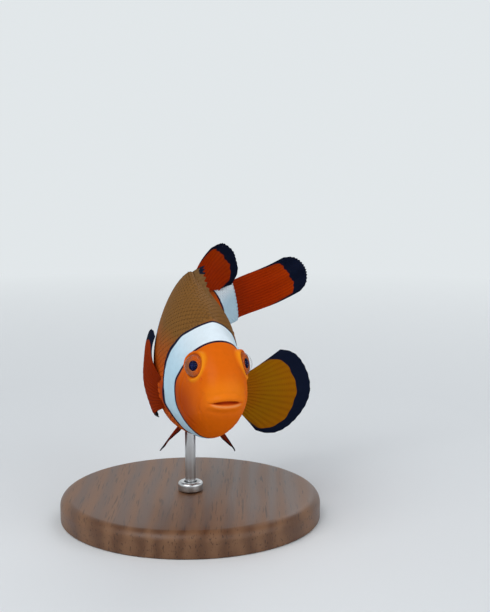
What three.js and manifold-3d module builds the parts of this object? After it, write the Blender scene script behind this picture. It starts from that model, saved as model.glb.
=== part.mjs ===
// A life-size display model of a false clown anemonefish, turning with its tail swung to its left,
// held over a round wooden base by one steel rod. Units are millimetres, +Z is up and the head faces -Y.
//
// The fish is first described straight, in body coordinates: `s` runs from the snout (0) to the end of
// the tail stalk (1), `l` is towards the fish's left and `h` upwards, all as shares of the standard
// length. place() bends that straight fish along its spine. The body is one lofted solid that is parted
// by thin cuts, and the whole fish is turned and lifted onto its rod at the end.

import * as THREE from 'three';
import { LoftGeometry } from 'three/addons/geometries/LoftGeometry.js';
import { mergeVertices } from 'three/addons/utils/BufferGeometryUtils.js';
import Module from 'manifold-3d';

const wasm = await Module();
wasm.setup();

// ---------------------------------------------------------------- driving dimensions

const LENGTH = 74; // standard length, snout to the end of the tail stalk
const GAP = 0.3; // clear joint between neighbouring pieces

const YAW = -15.5; // degrees that the body runs to the fish's right behind the head
const PITCH = 4; // degrees nose-down
const ROLL = 2; // degrees that its back leans to its left
const NECK_TURN = 3; // degrees that it turns further to the right between cheeks and mid trunk
const TAIL_SWING = 60; // degrees that the spine turns to the left by the end of the tail stalk
const SWING_START = 0.35; // where that turn starts
const FIN_SWING = 48; // further turn inside the tail fin
const TAIL_LIFT = 13; // degrees that the tail stalk points up
const FIN_LIFT = 16; // further lift inside the tail fin

const MOUTH_HEIGHT = 35; // height of the mouth over the floor
const BASE_RADIUS = 31;
const BASE_HEIGHT = 6;
const BASE_BEVEL = 1.2;
const ROD_RADIUS = 1.25;
const ROD_DEPTH = 5; // how far the rod enters the belly
const ROD_STATION = 0.43; // where along the body the rod meets it
const COLLAR_RADIUS = 3;
const COLLAR_HEIGHT = 2.4;

const RING_POINTS = 22;
const BODY_RINGS = 24;
const TIP = 0.0004; // the first ring's station, just behind the point of the snout

// ---------------------------------------------------------------- outlines of the straight fish

// A smooth curve through [station, value] pairs. Stations are eased by a square root, which gives
// the outlines a round, blunt start at the snout.
function outline(pairs) {
  const x = pairs.map(([station]) => Math.sqrt(station));
  const y = pairs.map(([, value]) => value);
  const last = x.length - 1;
  const slope = x.map((_, i) => {
    const a = Math.max(i - 1, 0);
    const b = Math.min(i + 1, last);
    return (y[b] - y[a]) / (x[b] - x[a]);
  });
  return (station) => {
    const at = THREE.MathUtils.clamp(Math.sqrt(Math.max(station, 0)), 0, x[last]);
    let i = 0;
    while (i < last - 1 && at > x[i + 1]) i += 1;
    const span = x[i + 1] - x[i];
    const t = (at - x[i]) / span;
    const rise = t * t * (3 - 2 * t);
    return (
      y[i] * (1 - rise) +
      y[i + 1] * rise +
      span * t * (1 - t) * (slope[i] * (1 - t) - slope[i + 1] * t)
    );
  };
}

const SNOUT_LEVEL = -0.02;

const backLine = outline([
  [0, SNOUT_LEVEL],
  [0.01, 0.02],
  [0.04, 0.066],
  [0.1, 0.117],
  [0.18, 0.162],
  [0.27, 0.195],
  [0.37, 0.223],
  [0.47, 0.252],
  [0.58, 0.245],
  [0.7, 0.18],
  [0.82, 0.115],
  [0.92, 0.082],
  [1, 0.08],
]);

const bellyLine = outline([
  [0, SNOUT_LEVEL],
  [0.01, -0.058],
  [0.04, -0.098],
  [0.1, -0.147],
  [0.18, -0.188],
  [0.27, -0.21],
  [0.37, -0.224],
  [0.47, -0.224],
  [0.58, -0.205],
  [0.7, -0.16],
  [0.82, -0.103],
  [0.92, -0.073],
  [1, -0.073],
]);

const halfWidth = outline([
  [0, 0],
  [0.01, 0.04],
  [0.04, 0.068],
  [0.1, 0.086],
  [0.18, 0.102],
  [0.26, 0.112],
  [0.37, 0.128],
  [0.47, 0.117],
  [0.58, 0.102],
  [0.7, 0.073],
  [0.82, 0.044],
  [0.92, 0.026],
  [1, 0.014],
]);

// Squareness of a cross-section over and under its widest point: 2 is an ellipse, less is a roof.
const crownSquareness = outline([
  [0, 2],
  [0.1, 2.2],
  [0.2, 1.6],
  [0.32, 2],
  [0.48, 1.6],
  [0.65, 1.6],
  [1, 2],
]);
const bellySquareness = outline([
  [0, 2],
  [0.1, 2],
  [0.4, 2.2],
  [0.7, 1.8],
  [1, 2],
]);

const ease = (from, to, s) => THREE.MathUtils.smoothstep(s, from, to);
const mix = THREE.MathUtils.lerp;

// ---------------------------------------------------------------- the bent spine

const SPINE_STEP = 0.01;
const SPINE_END = 1.4;

function heading(s) {
  const turn = Math.max(0, (s - SWING_START) / (1 - SWING_START));
  const swing = TAIL_SWING * Math.min(turn, 1) ** 1.1 + FIN_SWING * ease(0.95, 1.14, s);
  return THREE.MathUtils.degToRad(YAW - NECK_TURN * ease(0.14, 0.4, s) + swing);
}

function climb(s) {
  return THREE.MathUtils.degToRad(TAIL_LIFT * ease(0.45, 1, s) + FIN_LIFT * ease(1, 1.25, s));
}

function tailward(s) {
  const up = climb(s);
  return new THREE.Vector3(
    Math.sin(heading(s)) * Math.cos(up),
    Math.cos(heading(s)) * Math.cos(up),
    Math.sin(up)
  );
}

const spine = [new THREE.Vector3()];
for (let s = 0; s < SPINE_END; s += SPINE_STEP) {
  const step = tailward(s + SPINE_STEP / 2).multiplyScalar(SPINE_STEP);
  spine.push(spine[spine.length - 1].clone().add(step));
}

// The point of the bent fish at body coordinates s, l, h, in millimetres.
function place(s, l, h) {
  const index = THREE.MathUtils.clamp(s / SPINE_STEP, 0, spine.length - 1.001);
  const i = Math.floor(index);
  const origin = spine[i].clone().lerp(spine[i + 1], index - i);
  const ahead = Math.min(s, 0) + Math.max(0, s - SPINE_END);
  const along = tailward(s);
  const left = new THREE.Vector3(Math.cos(heading(s)), -Math.sin(heading(s)), 0);
  const up = left.clone().cross(along);
  return origin
    .addScaledVector(along, ahead)
    .addScaledVector(left, l)
    .addScaledVector(up, h)
    .multiplyScalar(LENGTH);
}

// ---------------------------------------------------------------- solids

function solid(geometry) {
  const plain = new THREE.BufferGeometry();
  plain.setAttribute('position', geometry.getAttribute('position'));
  plain.setIndex(geometry.getIndex());
  const merged = mergeVertices(plain, 1e-4);
  const make = (triVerts) =>
    new wasm.Manifold(
      new wasm.Mesh({
        numProp: 3,
        vertProperties: new Float32Array(merged.attributes.position.array),
        triVerts,
      })
    );
  const faces = new Uint32Array(merged.index.array);
  const made = make(faces);
  return made.volume() > 0 ? made : make(faces.reverse());
}

function geometryOf(body) {
  const mesh = body.getMesh();
  const points = new Float32Array(mesh.numVert * 3);
  for (let i = 0; i < mesh.numVert; i += 1) {
    points.set(mesh.vertProperties.subarray(i * mesh.numProp, i * mesh.numProp + 3), i * 3);
  }
  const geometry = new THREE.BufferGeometry();
  geometry.setAttribute('position', new THREE.BufferAttribute(points, 3));
  geometry.setIndex(new THREE.BufferAttribute(mesh.triVerts, 1));
  geometry.computeVertexNormals();
  return geometry;
}

// The largest of the pieces that a cut left, without crumbs.
function largest(body) {
  return body.decompose().reduce((a, b) => (a.volume() > b.volume() ? a : b));
}

// The sections' own way round: above 0 if they run anticlockwise, seen from the loft's far end.
function winding(sections) {
  const centre = (points) =>
    points.reduce((sum, p) => sum.add(p), new THREE.Vector3()).divideScalar(points.length);
  const first = sections[Math.floor(sections.length / 2) - 1];
  const origin = centre(first);
  const normal = new THREE.Vector3();
  first.forEach((point, i) => {
    const next = first[(i + 1) % first.length];
    normal.add(point.clone().sub(origin).cross(next.clone().sub(origin)));
  });
  return normal.dot(centre(sections[Math.floor(sections.length / 2)]).sub(origin));
}

// A closed solid through rings of points, whichever way round they run.
function loft(sections) {
  const wound = winding(sections) > 0 ? sections : sections.map((points) => [...points].reverse());
  return solid(new LoftGeometry(wound, { capStart: true, capEnd: true }));
}

// A point on the body's surface, at `angle` round the section from the back's crest, grown by
// `grow` shares of the length.
function surface(s, angle, grow = 0) {
  const across = Math.sin(angle);
  const upward = Math.cos(angle);
  const back = backLine(s);
  const belly = bellyLine(s);
  const middle = mix(belly, back, 0.47);
  const power = 2 / (upward > 0 ? crownSquareness(s) : bellySquareness(s));
  const reach = (upward > 0 ? back - middle : middle - belly) + grow;
  return {
    l: Math.sign(across) * Math.abs(across) ** power * (halfWidth(s) + grow),
    h: middle + Math.sign(upward) * Math.abs(upward) ** power * reach,
  };
}

// A ring of the body's surface. Grown rings move forwards at the snout and back at the tail's end.
function ring(s, grow) {
  const shift = grow * (ease(0.99, 1, s) - (1 - ease(0, 0.08, s)));
  return Array.from({ length: RING_POINTS }, (_, k) => {
    const { l, h } = surface(s, (2 * Math.PI * k) / RING_POINTS, grow);
    return place(s + shift, l, h);
  });
}

// The body between two stations, grown by some millimetres. Its rings lie closer at the snout.
function bodySolid(millimetres = 0, from = TIP, to = 1) {
  const stations = Array.from({ length: BODY_RINGS + 1 }, (_, i) => (i / BODY_RINGS) ** 1.6);
  return loft(stations.map((t) => ring(mix(from, to, t), millimetres / LENGTH)));
}

// A slab across the body between two edges, each a station as a function of height.
function slab(frontEdge, rearEdge) {
  const levels = Array.from({ length: 12 }, (_, i) => mix(-0.27, 0.27, i / 11));
  const sides = [-0.15, 0, 0.15];
  return loft(
    levels.map((h) => [
      ...sides.map((l) => place(frontEdge(h), l, h)),
      ...sides.map((l) => place(rearEdge(h), -l, h)),
    ])
  );
}

// A prism across the head: an outline in body coordinates, pushed from one side to the other.
function prism(points, from = -0.16, to = 0.16) {
  return loft([from, to].map((l) => points.map(([s, h]) => place(s, l, h))));
}

// ---------------------------------------------------------------- markings that part the body

const clearOf = (edge, side) => (h) => edge(h) + (side * GAP) / 2 / LENGTH;
const bulge = (h, level, spread) => Math.exp(-(((h - level) / spread) ** 2));

const headBandFront = (h) =>
  0.219 - 0.035 * ease(-0.01, 0.08, h) - 0.062 * ease(0.075, 0.125, h) - 0.05 * ease(0.085, 0.155, -h);
const headBandRear = (h) =>
  0.296 - 0.04 * ease(0.045, 0.11, h) - 0.064 * ease(0.135, 0.172, h) - 0.035 * ease(0.12, 0.21, -h);
const midBandFront = (h) => 0.545 - 0.085 * bulge(h, 0.01, 0.1);
const midBandRear = (h) => 0.615 - 0.02 * bulge(h, 0, 0.1);
const tailBandFront = (h) => 0.885 + 0.02 * bulge(h, 0, 0.05);

const whole = bodySolid();
const grownBody = bodySolid(GAP);
const shell = bodySolid(0.35);
const core = bodySolid(-1.1, 0.1, 0.4);
const deepCore = bodySolid(-1.1 - GAP, 0.1, 0.4);

const bodyPart = (front, rear) => whole.intersect(slab(clearOf(front, 1), clearOf(rear, -1)));

let head = bodyPart(() => -0.1, headBandFront);
let headBand = bodyPart(headBandFront, headBandRear);
let trunk = bodyPart(headBandRear, midBandFront);
const midBand = bodyPart(midBandFront, midBandRear);
const rearTrunk = bodyPart(midBandRear, tailBandFront);
const tailStalk = bodyPart(tailBandFront, () => 1.2);

// ---------------------------------------------------------------- eyes

const EYE = { s: 0.115, l: 0.064, h: 0.06, radius: 2.75 };

const eyeAt = (side) => place(EYE.s, side * EYE.l, EYE.h);

function ball(centre, radius, detail) {
  const shape = new THREE.SphereGeometry(radius, detail, detail / 2);
  return solid(shape.translate(centre.x, centre.y, centre.z));
}

for (const side of [-1, 1]) {
  const socket = ball(eyeAt(side), EYE.radius + GAP, 16);
  head = head.subtract(socket);
  headBand = headBand.subtract(socket);
}

// ---------------------------------------------------------------- mouth

const MOUTH = { corner: 0.032, half: 0.047, level: -0.022, open: 0.009, lip: 0.62 };

// The line of the mouth round the front of the snout, from its left corner to its right one.
function mouthLine(level) {
  const points = [];
  for (let i = -4; i <= 4; i += 1) {
    const share = i / 4;
    const lift = mix(level, MOUTH.level, Math.abs(share) ** 3);
    points.push(place(MOUTH.corner * Math.abs(share) ** 2.2, -MOUTH.half * share, lift));
  }
  return new THREE.CatmullRomCurve3(points);
}

// A lip: a round bar that thins towards the mouth's corners.
function lip(level, thickness) {
  const path = mouthLine(level);
  const steps = 10;
  const sections = [];
  for (let i = 0; i <= steps; i += 1) {
    const t = i / steps;
    const centre = path.getPoint(t);
    const along = path.getTangent(t);
    const up = new THREE.Vector3(0, 0, 1);
    const out = along.clone().cross(up).normalize();
    const radius = thickness * (0.3 + 0.7 * Math.sin(Math.PI * t) ** 0.6);
    sections.push(
      Array.from({ length: 6 }, (_, k) => {
        const angle = (k / 6) * 2 * Math.PI;
        return centre
          .clone()
          .addScaledVector(out, radius * Math.cos(angle))
          .addScaledVector(up, radius * Math.sin(angle));
      })
    );
  }
  return loft(sections);
}

const jawHinge = [0.06, MOUTH.level - 0.008];
const mouthGap = prism([
  [-0.05, MOUTH.level + MOUTH.open],
  [0.01, MOUTH.level + MOUTH.open * 0.8],
  [jawHinge[0], jawHinge[1] + 0.004],
  jawHinge,
  [0.01, MOUTH.level - MOUTH.open * 0.45],
  [-0.05, MOUTH.level - MOUTH.open * 0.6],
]);
const jawOutline = [
  [-0.05, MOUTH.level + 0.002],
  jawHinge,
  [0.1, -0.07],
  [0.125, -0.24],
  [-0.05, -0.24],
];
const jawCut = [
  jawHinge,
  [jawHinge[0] + GAP / LENGTH, jawHinge[1] + 0.004],
  [0.1 + GAP / LENGTH, -0.07],
  [0.125 + GAP / LENGTH, -0.24],
  [0.125, -0.24],
  [0.1, -0.07],
];

const upperLip = lip(MOUTH.level + MOUTH.open * 0.5 + 0.008, MOUTH.lip).subtract(mouthGap);
const lowerLip = lip(MOUTH.level - MOUTH.open * 0.5 - 0.007, MOUTH.lip);
const upperLipBed = lip(MOUTH.level + MOUTH.open * 0.5 + 0.008, MOUTH.lip + GAP);
const lowerJaw = head
  .intersect(prism(jawOutline))
  .add(lowerLip)
  .subtract(mouthGap)
  .subtract(prism(jawCut));
head = head
  .subtract(prism(jawOutline))
  .subtract(mouthGap)
  .subtract(prism(jawCut))
  .subtract(upperLipBed);

// ---------------------------------------------------------------- gill covers

const COVER = { s: 0.23, h: -0.024, length: 0.064, height: 0.106 };

function coverOutline(extra) {
  const points = [];
  for (let k = 0; k < 18; k += 1) {
    const angle = (k / 18) * 2 * Math.PI;
    const rear = Math.cos(angle) > 0 ? 1 : 0.62;
    points.push([
      COVER.s + Math.cos(angle) * (COVER.length * rear + extra),
      COVER.h + Math.sin(angle) * (COVER.height + extra),
    ]);
  }
  return points;
}

function coverPrism(side, extra) {
  return side > 0
    ? prism(coverOutline(extra), 0.02, 0.16)
    : prism(coverOutline(extra), -0.16, -0.02);
}

const gillCovers = new Map();
for (const side of [-1, 1]) {
  const bed = coverPrism(side, GAP / LENGTH).subtract(deepCore);
  head = head.subtract(bed);
  headBand = headBand.subtract(bed);
  trunk = trunk.subtract(bed);
  gillCovers.set(side, shell.intersect(coverPrism(side, 0)).subtract(core));
}

// ---------------------------------------------------------------- fins

const FIN = { ray: 0.85, web: 0.5, tip: 0.62 };

// A fin from its rays. point(u, v) is the place of ray u (0 to 1) at v of its length; the ribs are
// thick along the rays and thin in the web between them.
function fin({ rays, rows, point, notch = 0.04 }) {
  const columns = 2 * (rays - 1);
  const onRay = (j) => (j % 2 === 0 ? 1 : 0);
  const at = (j, v) => point(j / columns, v * (1 - notch * (1 - onRay(j))));
  const sections = [];
  for (let i = 0; i <= rows; i += 1) {
    const v = i / rows;
    const front = [];
    const rear = [];
    for (let j = 0; j <= columns; j += 1) {
      const step = 0.01;
      const along = at(j, v + step).sub(at(j, v - step));
      const a = Math.min(j + 1, columns);
      const b = Math.max(j - 1, 0);
      const across = at(a, v).sub(at(b, v));
      const normal = along.cross(across).normalize();
      const thick = onRay(j) ? mix(FIN.ray, FIN.tip, v) : FIN.web;
      front.push(at(j, v).addScaledVector(normal, thick / 2));
      rear.push(at(j, v).addScaledVector(normal, -thick / 2));
    }
    sections.push([...front, ...rear.reverse()]);
  }
  return largest(loft(sections).subtract(grownBody));
}

// A fin on the body's midline, over the back (side 1) or under the belly (side -1). lean(u) is the
// angle of a ray from upright towards the tail, and sway bends its tip to the left.
function midlineFin({ side, from, to, reach, lean, sway, rays, rows, notch }) {
  const edge = side > 0 ? backLine : bellyLine;
  return fin({
    rays,
    rows,
    notch,
    point: (u, v) => {
      const s = mix(from, to, u);
      const tilt = THREE.MathUtils.degToRad(lean(u) + 8 * v);
      const length = 0.02 + reach(u);
      return place(
        s + Math.sin(tilt) * length * v,
        sway * v * v,
        edge(s) - side * 0.02 + side * Math.cos(tilt) * length * v
      );
    },
  });
}

const arch = (u, start, end, power) => Math.sin(Math.PI * mix(start, end, u)) ** power;

const spinyDorsal = midlineFin({
  side: 1,
  from: 0.285,
  to: 0.575,
  rays: 10,
  rows: 3,
  notch: 0.12,
  sway: 0.045,
  lean: (u) => mix(56, 58, u),
  reach: (u) => 0.026 + 0.036 * arch(u, 0.05, 0.9, 1),
});

const softDorsal = midlineFin({
  side: 1,
  from: 0.665,
  to: 0.89,
  rays: 11,
  rows: 4,
  notch: 0.03,
  sway: 0.05,
  lean: (u) => mix(45, 62, u),
  reach: (u) => 0.03 + 0.17 * arch(u, 0.2, 0.995, 0.5),
});

const anal = midlineFin({
  side: -1,
  from: 0.625,
  to: 0.87,
  rays: 11,
  rows: 4,
  notch: 0.03,
  sway: 0.01,
  lean: (u) => mix(30, 70, u),
  reach: (u) => 0.045 + 0.125 * arch(u, 0.08, 0.97, 0.6),
});

const caudal = fin({
  rays: 11,
  rows: 5,
  notch: 0.02,
  point: (u, v) => {
    const fan = THREE.MathUtils.degToRad(mix(2.6, 3, u));
    const length = 0.27 + 0.047 * arch(u, 0, 1, 0.6);
    return place(
      0.975 + Math.cos(fan) * length * v,
      0,
      mix(0.078, -0.062, u) + Math.sin(fan) * length * v
    );
  },
});

// A paddle fin on one side. Its rays fan from a short root; `out` is the way of its middle ray, `top`
// is the way of its upper edge, cup bends the tips back, and bow arches the blade away from the body.
function pairedFin({ rays, rows, rootTop, rootFoot, out, top, fanUp, fanDown, reach, cup, bow = 0 }) {
  const middle = out.clone().normalize();
  const rise = top.clone().addScaledVector(middle, -top.dot(middle)).normalize();
  const flat = middle.clone().cross(rise);
  return fin({
    rays,
    rows,
    notch: 0.03,
    point: (u, v) => {
      const angle = THREE.MathUtils.degToRad(mix(fanUp, -fanDown, u));
      const length = reach(u) * LENGTH;
      return rootTop
        .clone()
        .lerp(rootFoot, u)
        .addScaledVector(middle, Math.cos(angle) * length * v)
        .addScaledVector(rise, Math.sin(angle) * length * v)
        .addScaledVector(flat, (cup * v * v + 4 * bow * v * (1 - v)) * LENGTH);
    },
  });
}

const pectoralReach = (u) => 0.085 + 0.21 * arch(u, 0.15, 0.93, 0.75);

const pectoralLeft = pairedFin({
  rays: 11,
  rows: 4,
  rootTop: place(0.3, 0.108, -0.05),
  rootFoot: place(0.315, 0.1, -0.12),
  out: new THREE.Vector3(0.82, 0.45, -0.06),
  top: new THREE.Vector3(0, 0.12, 1),
  fanUp: 29,
  fanDown: 44,
  reach: pectoralReach,
  cup: -0.02,
});

const pectoralRight = pairedFin({
  rays: 11,
  rows: 4,
  rootTop: place(0.3, -0.108, -0.05),
  rootFoot: place(0.315, -0.1, -0.12),
  out: new THREE.Vector3(-0.34, 0.85, 0.06),
  top: new THREE.Vector3(0, -0.15, 1),
  fanUp: 38,
  fanDown: 36,
  reach: pectoralReach,
  cup: 0.02,
  bow: -0.03,
});

function pelvic(side) {
  return pairedFin({
    rays: 6,
    rows: 4,
    rootTop: place(0.33, side * 0.04, -0.17),
    rootFoot: place(0.365, side * 0.02, -0.18),
    out: new THREE.Vector3(side * 0.36, 0.75, -0.62),
    top: new THREE.Vector3(side * 0.35, -0.6, -0.3),
    fanUp: 16,
    fanDown: 18,
    reach: (u) => 0.1 + 0.13 * arch(u, 0.25, 0.99, 0.7),
    cup: side * 0.012,
  });
}

// ---------------------------------------------------------------- stand

// The fish's place over the stand: the rod's station lies over the base's centre.
const fish = new THREE.Group();
fish.rotation.set(THREE.MathUtils.degToRad(PITCH), THREE.MathUtils.degToRad(ROLL), 0);
const rodFoot = place(ROD_STATION, 0, bellyLine(ROD_STATION)).applyEuler(fish.rotation);
const mouthAt = place(0, 0, SNOUT_LEVEL).applyEuler(fish.rotation);
fish.position.set(-rodFoot.x, -rodFoot.y, MOUTH_HEIGHT - mouthAt.z);
fish.updateMatrixWorld(true);

const bellyHeight = rodFoot.z + fish.position.z;
const rodTop = bellyHeight + ROD_DEPTH;
const rodBottom = BASE_HEIGHT + GAP;

// A rod or disc standing on the axis, turned from a [radius, height] profile.
function turned(profile, segments) {
  const points = profile.map(([radius, height]) => new THREE.Vector2(radius, height));
  return new THREE.LatheGeometry(points, segments).rotateX(Math.PI / 2);
}

const rodShape = (radius, bottom, top, tip) =>
  turned([[0, bottom], [radius, bottom], [radius, top - tip], [radius - tip, top], [0, top]], 16);

const rod = solid(rodShape(ROD_RADIUS, rodBottom, rodTop, 0.3));
const bore = solid(rodShape(ROD_RADIUS + GAP, -5, rodTop + GAP, 0.3));
const intoFish = fish.matrixWorld.clone().invert();
trunk = trunk.subtract(solid(geometryOf(bore).applyMatrix4(intoFish)));

const base = turned(
  [
    [0, 0],
    [BASE_RADIUS - BASE_BEVEL / 2, 0],
    [BASE_RADIUS, BASE_BEVEL / 2],
    [BASE_RADIUS, BASE_HEIGHT - 2 * BASE_BEVEL],
    [BASE_RADIUS - 0.6 * BASE_BEVEL, BASE_HEIGHT - 0.6 * BASE_BEVEL],
    [BASE_RADIUS - 2 * BASE_BEVEL, BASE_HEIGHT],
    [0, BASE_HEIGHT],
  ],
  26
);

const collarTop = BASE_HEIGHT + COLLAR_HEIGHT;
const collar = turned(
  [
    [ROD_RADIUS + GAP, BASE_HEIGHT + GAP],
    [COLLAR_RADIUS, BASE_HEIGHT + GAP],
    [COLLAR_RADIUS, collarTop - 0.7],
    [COLLAR_RADIUS - 0.7, collarTop],
    [ROD_RADIUS + GAP, collarTop],
    [ROD_RADIUS + GAP, BASE_HEIGHT + GAP],
  ],
  18
);

// ---------------------------------------------------------------- materials and scene graph

const finish = (color, roughness, metalness = 0) =>
  new THREE.MeshStandardMaterial({ color, roughness, metalness });

const orangeSkin = finish(0xe8661a, 0.45);
const whiteSkin = finish(0xe6eef2, 0.45);
const backSkin = finish(0xb4561f, 0.5);
const finWeb = finish(0xdb5714, 0.5);
const pectoralWeb = finish(0xc97a1c, 0.5);
const eyeball = finish(0x1a1420, 0.12);
const wood = finish(0x5b3a24, 0.45);
const steel = finish(0xb8b9ba, 0.25, 1);

function add(group, name, geometry, material) {
  const mesh = new THREE.Mesh(geometry, material);
  mesh.name = name;
  group.add(mesh);
}

add(fish, 'head', geometryOf(largest(head)), orangeSkin);
add(fish, 'upper_lip', geometryOf(largest(upperLip)), orangeSkin);
add(fish, 'lower_jaw', geometryOf(largest(lowerJaw)), orangeSkin);
add(fish, 'head_band', geometryOf(largest(headBand)), whiteSkin);
add(fish, 'trunk', geometryOf(largest(trunk)), backSkin);
add(fish, 'mid_band', geometryOf(largest(midBand)), whiteSkin);
add(fish, 'rear_trunk', geometryOf(largest(rearTrunk)), orangeSkin);
add(fish, 'tail_stalk', geometryOf(largest(tailStalk)), whiteSkin);
for (const [side, name] of [[1, 'left'], [-1, 'right']]) {
  add(fish, `eye_${name}`, geometryOf(ball(eyeAt(side), EYE.radius, 16)), eyeball);
  add(fish, `gill_cover_${name}`, geometryOf(largest(gillCovers.get(side))), whiteSkin);
  add(fish, `fin_pelvic_${name}`, geometryOf(pelvic(side)), finWeb);
}
add(fish, 'fin_dorsal_spiny', geometryOf(spinyDorsal), backSkin);
add(fish, 'fin_dorsal_soft', geometryOf(softDorsal), finWeb);
add(fish, 'fin_anal', geometryOf(anal), finWeb);
add(fish, 'fin_tail', geometryOf(caudal), finWeb);
add(fish, 'fin_pectoral_left', geometryOf(pectoralLeft), pectoralWeb);
add(fish, 'fin_pectoral_right', geometryOf(pectoralRight), pectoralWeb);

// The whole model: the fish and its stand.
const model = new THREE.Group();
model.add(fish);
add(model, 'stand_base', base, wood);
add(model, 'stand_rod', geometryOf(rod), steel);
add(model, 'stand_collar', collar, steel);

export default model;
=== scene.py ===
# %% [markdown]
# # A clownfish on a display stand
# The fish is first described straight: `s` runs from the snout (0) to the end of the tail stalk (1), `l`
# is towards its left and `h` upwards, all as shares of the standard length. One function then bends it
# along its spine. Every soft piece is made from it, so skin, scales, fins and eyes always meet.

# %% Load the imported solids
import math
import random
import bmesh
import bpy
import numpy as np
from mathutils import Matrix, Vector


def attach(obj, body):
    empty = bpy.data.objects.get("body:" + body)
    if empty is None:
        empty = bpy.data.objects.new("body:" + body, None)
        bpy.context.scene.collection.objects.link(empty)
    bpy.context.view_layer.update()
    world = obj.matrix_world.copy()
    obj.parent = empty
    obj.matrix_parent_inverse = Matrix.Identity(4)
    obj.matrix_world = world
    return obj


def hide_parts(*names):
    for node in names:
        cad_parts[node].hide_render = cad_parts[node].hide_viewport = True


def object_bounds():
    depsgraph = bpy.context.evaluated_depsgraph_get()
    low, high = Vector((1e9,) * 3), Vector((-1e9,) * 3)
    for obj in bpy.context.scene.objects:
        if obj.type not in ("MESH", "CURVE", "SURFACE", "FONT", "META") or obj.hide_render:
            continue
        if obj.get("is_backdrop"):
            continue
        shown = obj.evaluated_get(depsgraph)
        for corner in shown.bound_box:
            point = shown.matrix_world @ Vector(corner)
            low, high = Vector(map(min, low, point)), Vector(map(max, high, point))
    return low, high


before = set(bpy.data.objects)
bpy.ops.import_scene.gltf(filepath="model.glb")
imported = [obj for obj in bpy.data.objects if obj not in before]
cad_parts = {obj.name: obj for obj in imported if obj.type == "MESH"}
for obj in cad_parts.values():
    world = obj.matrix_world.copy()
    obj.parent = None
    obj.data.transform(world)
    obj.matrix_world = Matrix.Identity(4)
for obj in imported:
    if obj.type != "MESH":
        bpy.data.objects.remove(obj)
solid_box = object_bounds()
MM = 0.001
print("solid pieces:", len(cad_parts))

# %% [markdown]
# ## The body's outlines
# A fish is a smooth spindle, so a few heights and widths along it are enough. Each outline is a smooth
# curve through values at stations, eased by a square root so that the snout starts round and blunt. The
# same values make the solids, and the skin keeps to them.

# %% Tools for smooth curves
def ease(start, end, x):
    """A smooth step from 0 at start to 1 at end."""
    t = np.clip((x - start) / (end - start), 0, 1)
    return t * t * (3 - 2 * t)


def mix(a, b, t):
    return a + (b - a) * t


def near(x, centre, spread):
    """A smooth bump that is 1 at centre."""
    return np.exp(-(((x - centre) / spread) ** 2))


def arch(u, start, end, power):
    """Part of a sine arch, from start to end, made blunter by a low power."""
    return np.abs(np.sin(np.pi * mix(start, end, np.clip(u, 0, 1)))) ** power


def span_curve(a, b, slope_a, slope_b, span, t):
    """A cubic from a to b over a span, with a slope at each end."""
    rise = t * t * (3 - 2 * t)
    return a * (1 - rise) + b * rise + span * t * (1 - t) * (slope_a * (1 - t) - slope_b * t)


def outline(stations, values):
    x, value = np.sqrt(stations), np.array(values, float)
    knot = np.arange(len(x))
    before, after = np.maximum(knot - 1, 0), np.minimum(knot + 1, len(x) - 1)
    slope = (value[after] - value[before]) / (x[after] - x[before])

    def at(s):
        p = np.clip(np.sqrt(np.maximum(s, 0)), 0, x[-1])
        i = np.clip(np.searchsorted(x, p, side="right") - 1, 0, len(x) - 2)
        span = x[i + 1] - x[i]
        return span_curve(value[i], value[i + 1], slope[i], slope[i + 1], span, (p - x[i]) / span)

    return at


# %% Outlines of the straight fish
LENGTH = 74.0
SNOUT_LEVEL = -0.02
MIDDLE_SHARE = 0.47
STATIONS = (0, 0.01, 0.04, 0.1, 0.18, 0.27, 0.37, 0.47, 0.58, 0.7, 0.82, 0.92, 1)
WIDTH_STATIONS = (0, 0.01, 0.04, 0.1, 0.18, 0.26, 0.37, 0.47, 0.58, 0.7, 0.82, 0.92, 1)
back_line = outline(
    STATIONS, (SNOUT_LEVEL, 0.02, 0.066, 0.117, 0.162, 0.195, 0.223, 0.252, 0.245, 0.18, 0.115, 0.082, 0.08))
belly_line = outline(
    STATIONS,
    (SNOUT_LEVEL, -0.058, -0.098, -0.147, -0.188, -0.21, -0.224, -0.224, -0.205, -0.16, -0.103, -0.073,
     -0.073))
half_width = outline(
    WIDTH_STATIONS, (0, 0.04, 0.068, 0.086, 0.102, 0.112, 0.128, 0.117, 0.102, 0.073, 0.044, 0.026, 0.014))
crown_squareness = outline((0, 0.1, 0.2, 0.32, 0.48, 0.65, 1), (2, 2.2, 1.6, 2, 1.6, 1.6, 2))
belly_squareness = outline((0, 0.1, 0.4, 0.7, 1), (2, 2, 2.2, 1.8, 2))


def section_middle(s):
    return mix(belly_line(s), back_line(s), MIDDLE_SHARE)


def section(s, angle):
    """(l, h) on the body's surface, at an angle round the section from the crest of the back."""
    across, upward = np.sin(angle), np.cos(angle)
    middle = section_middle(s)
    power = 2 / np.where(upward > 0, crown_squareness(s), belly_squareness(s))
    reach = np.where(upward > 0, back_line(s) - middle, middle - belly_line(s))
    left = np.sign(across) * np.abs(across) ** power * half_width(s)
    return left, middle + np.sign(upward) * np.abs(upward) ** power * reach


def down_from_crest(angle):
    """Degrees round the section from the crest of the back, the same on both sides."""
    return np.degrees(np.minimum(angle, 2 * np.pi - angle))


print("deepest section:", round(float(back_line(0.42) - belly_line(0.42)) * LENGTH, 1), "mm")

# %% [markdown]
# ## The bent spine
# The fish turns: its head looks past us while the tail stalk and the tail fin swing to its left. A heading
# for every station is added up to a curve, and `place` carries any straight point along it, then leans
# the whole fish on its rod, as the solids do.

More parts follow.
